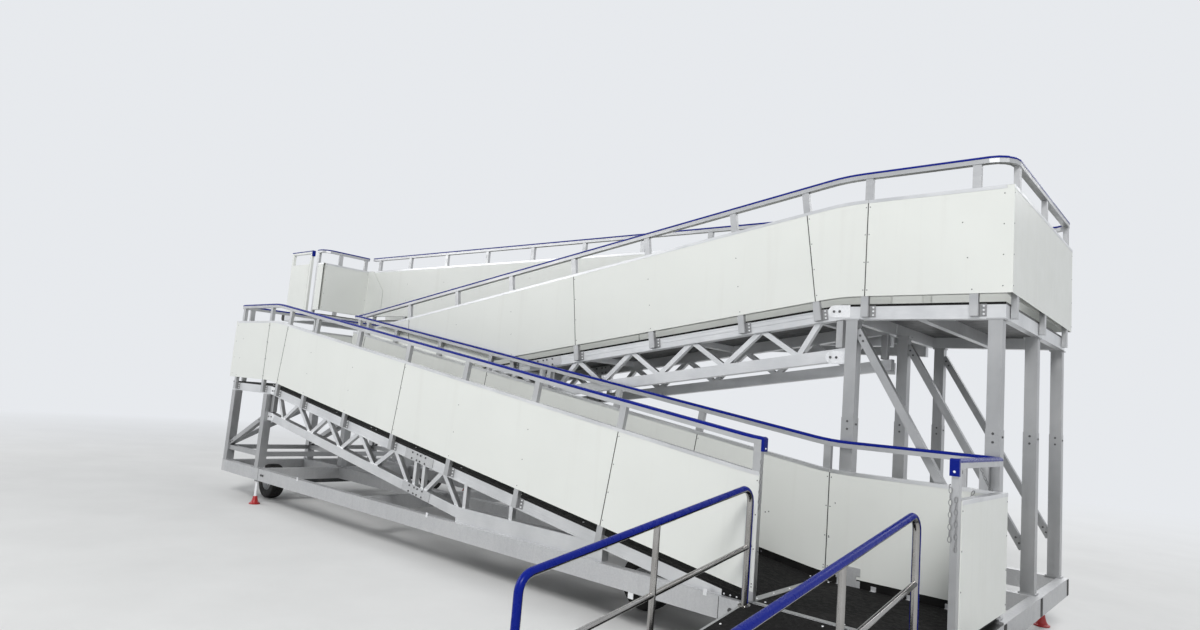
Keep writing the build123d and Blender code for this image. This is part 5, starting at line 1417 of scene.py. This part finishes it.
# %% Slider handles and bumper bolts
for place, line, outward in (("near", y_cab, -1), ("far", lines[3], 1)):
    body = f"slider_{place}"
    low_corner, high_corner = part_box(f"cab_slider_{place}")
    face_y = line - outward * INNER
    x_grip, deep = high_corner.x - 0.12, face_y - outward * 0.045
    root, z0, z1 = face_y + outward * 0.001, z_cab + 0.5, z_cab + 0.72
    path = rounded([(x_grip, y, z) for y, z in ((root, z0), (deep, z0), (deep, z1), (root, z1))], 0.015, 8)
    piece(f"slider_handle_{place}", carried(circle(0.008, 16), path, (1, 0, 0)), stainless, body, 40)
    places = [(x, line - outward * SIDE_GAP, z_cab + 0.03)
              for x in np.linspace(low_corner.x + 0.05, high_corner.x - 0.05, 5)]
    piece(f"slider_screws_{place}", stamped(screw(0.006), places, *facing(outward)), zinc_bright, body)
heads = [(x_cab_end - 0.045, y, z_cab - 0.0005) for y in np.linspace(y_cab + 0.1, lines[3] - 0.1, 9)]
piece("bumper_bolts", stamped(bolt(0.009), heads, *UP), zinc_bright, "cab")
print("bumper bolts:", len(heads))

# %% [markdown]
# ## Tow bar
# Washers and a split pin keep the hinge pin in the tow frame's fork.

# %% Tow bar's fittings
x_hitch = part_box("drawbar")[0].x + 0.032
y_mid = (lines[0] + lines[3]) / 2
washer = stack([(0.024, 0, 24), (0.024, 0.004, 24), (0.022, 0.005, 24)])
washers = [stamped(washer, [(x_hitch, y_mid + out * 0.0505, WHEEL_R)], *facing(out)) for out in (-1, 1)]
piece("hitch_washers", washers, zinc_bright, "steering")
split_pin = rounded([(x_hitch + dx, y_mid - 0.0575, WHEEL_R + dz)
                     for dx, dz in ((0, 0.026), (0, -0.02), (0.012, -0.03))], 0.006, 6)
piece("hitch_split_pin", carried(circle(0.0022, 10), split_pin, (0, 1, 0)), zinc_bright, "steering", 40)
print("tow bar hinge at x", round(x_hitch, 3))

# %% [markdown]
# ## Floor and light
# A pale floor runs out to the same pale tone as the background, so no horizon shows. Three large soft
# lamps light the machine: the strongest high behind the camera, a weak one on its left, and one behind the
# machine. Metal also needs something pale to reflect, which the background gives it.

# %% Floor
BACK = (0.80, 0.82, 0.85)


def seen(tree):
    """One where a camera, glossy or transmission ray looks, and nothing for the rest, in a node tree."""
    rays = tree.nodes.new("ShaderNodeLightPath").outputs
    value = rays["Is Camera Ray"]
    for kind in ("Is Glossy Ray", "Is Transmission Ray"):
        greater = tree.nodes.new("ShaderNodeMath")
        greater.operation = "MAXIMUM"
        tree.links.new(value, greater.inputs[0])
        tree.links.new(rays[kind], greater.inputs[1])
        value = greater.outputs[0]
    return value


def shade(tree, share, first, second, output):
    """Two shaders mixed by a share, as the surface of a node tree's output."""
    mixed = tree.nodes.new("ShaderNodeMixShader")
    for source, socket in zip((share, first, second), mixed.inputs):
        tree.links.new(source, socket)
    tree.links.new(mixed.outputs[0], tree.nodes[output].inputs["Surface"])


ground = Finish("pale_floor")
ground.colour(ground.ramp(ground.noise(0.9, 5), (0.3, (0.72, 0.72, 0.71)), (0.7, (0.77, 0.77, 0.76))))
ground.gloss(8, 4, 0.75, 0.9)
ground.bump(ground.noise(120, 3), 0.0005)
reach = ground.add("ShaderNodeVectorMath", operation="LENGTH")
ground.join(ground.place, reach.inputs[0])
fade = ground.add("ShaderNodeMath", operation="MULTIPLY")
ground.join(ground.span(reach.outputs["Value"], 9, 20, 0, 1), fade.inputs[0])
ground.join(seen(ground.tree), fade.inputs[1])
glow = ground.add("ShaderNodeEmission")
glow.inputs["Color"].default_value = (*BACK, 1)
shade(ground.tree, fade.outputs[0], ground.shader.outputs[0], glow.outputs[0], "Material Output")

disc = bpy.data.meshes.new("floor")
rim = np.c_[circle(60, 64), np.full(64, -0.001)]
disc.from_pydata(rim.tolist(), [], [list(range(64))])
disc.materials.append(ground.material)
floor = bpy.data.objects.new("floor", disc)
bpy.context.scene.collection.objects.link(floor)

# %% World and lamps
world = bpy.data.worlds.new("studio")
bpy.context.scene.world = world
world.use_nodes = True
tree = world.node_tree
sky = tree.nodes["Background"]
sky.inputs["Color"].default_value = (0.93, 0.96, 1.0, 1)
sky.inputs["Strength"].default_value = 0.42
shown = tree.nodes.new("ShaderNodeBackground")
shown.inputs["Color"].default_value = (*BACK, 1)
shade(tree, seen(tree), sky.outputs[0], shown.outputs[0], "World Output")


def lamp(name, at, look, size, power):
    """Square soft lamp at a place, turned to look at another."""
    data = bpy.data.lights.new(name, "AREA")
    data.size = size
    data.energy = power
    made = bpy.data.objects.new(name, data)
    bpy.context.scene.collection.objects.link(made)
    made.location = at
    made.rotation_euler = (Vector(look) - Vector(at)).to_track_quat("-Z", "Y").to_euler()
    return made


lamp("key", (14.0, -19.0, 19.0), (0, 1.0, 1.0), 8.0, 5300)
lamp("fill", (-19.0, -12.0, 12.0), (0, 0.5, 1.0), 12.0, 1250)
lamp("back", (3.0, 22.0, 15.0), (0, 1.0, 1.0), 12.0, 1650)
bpy.context.scene.view_settings.view_transform = "Standard"
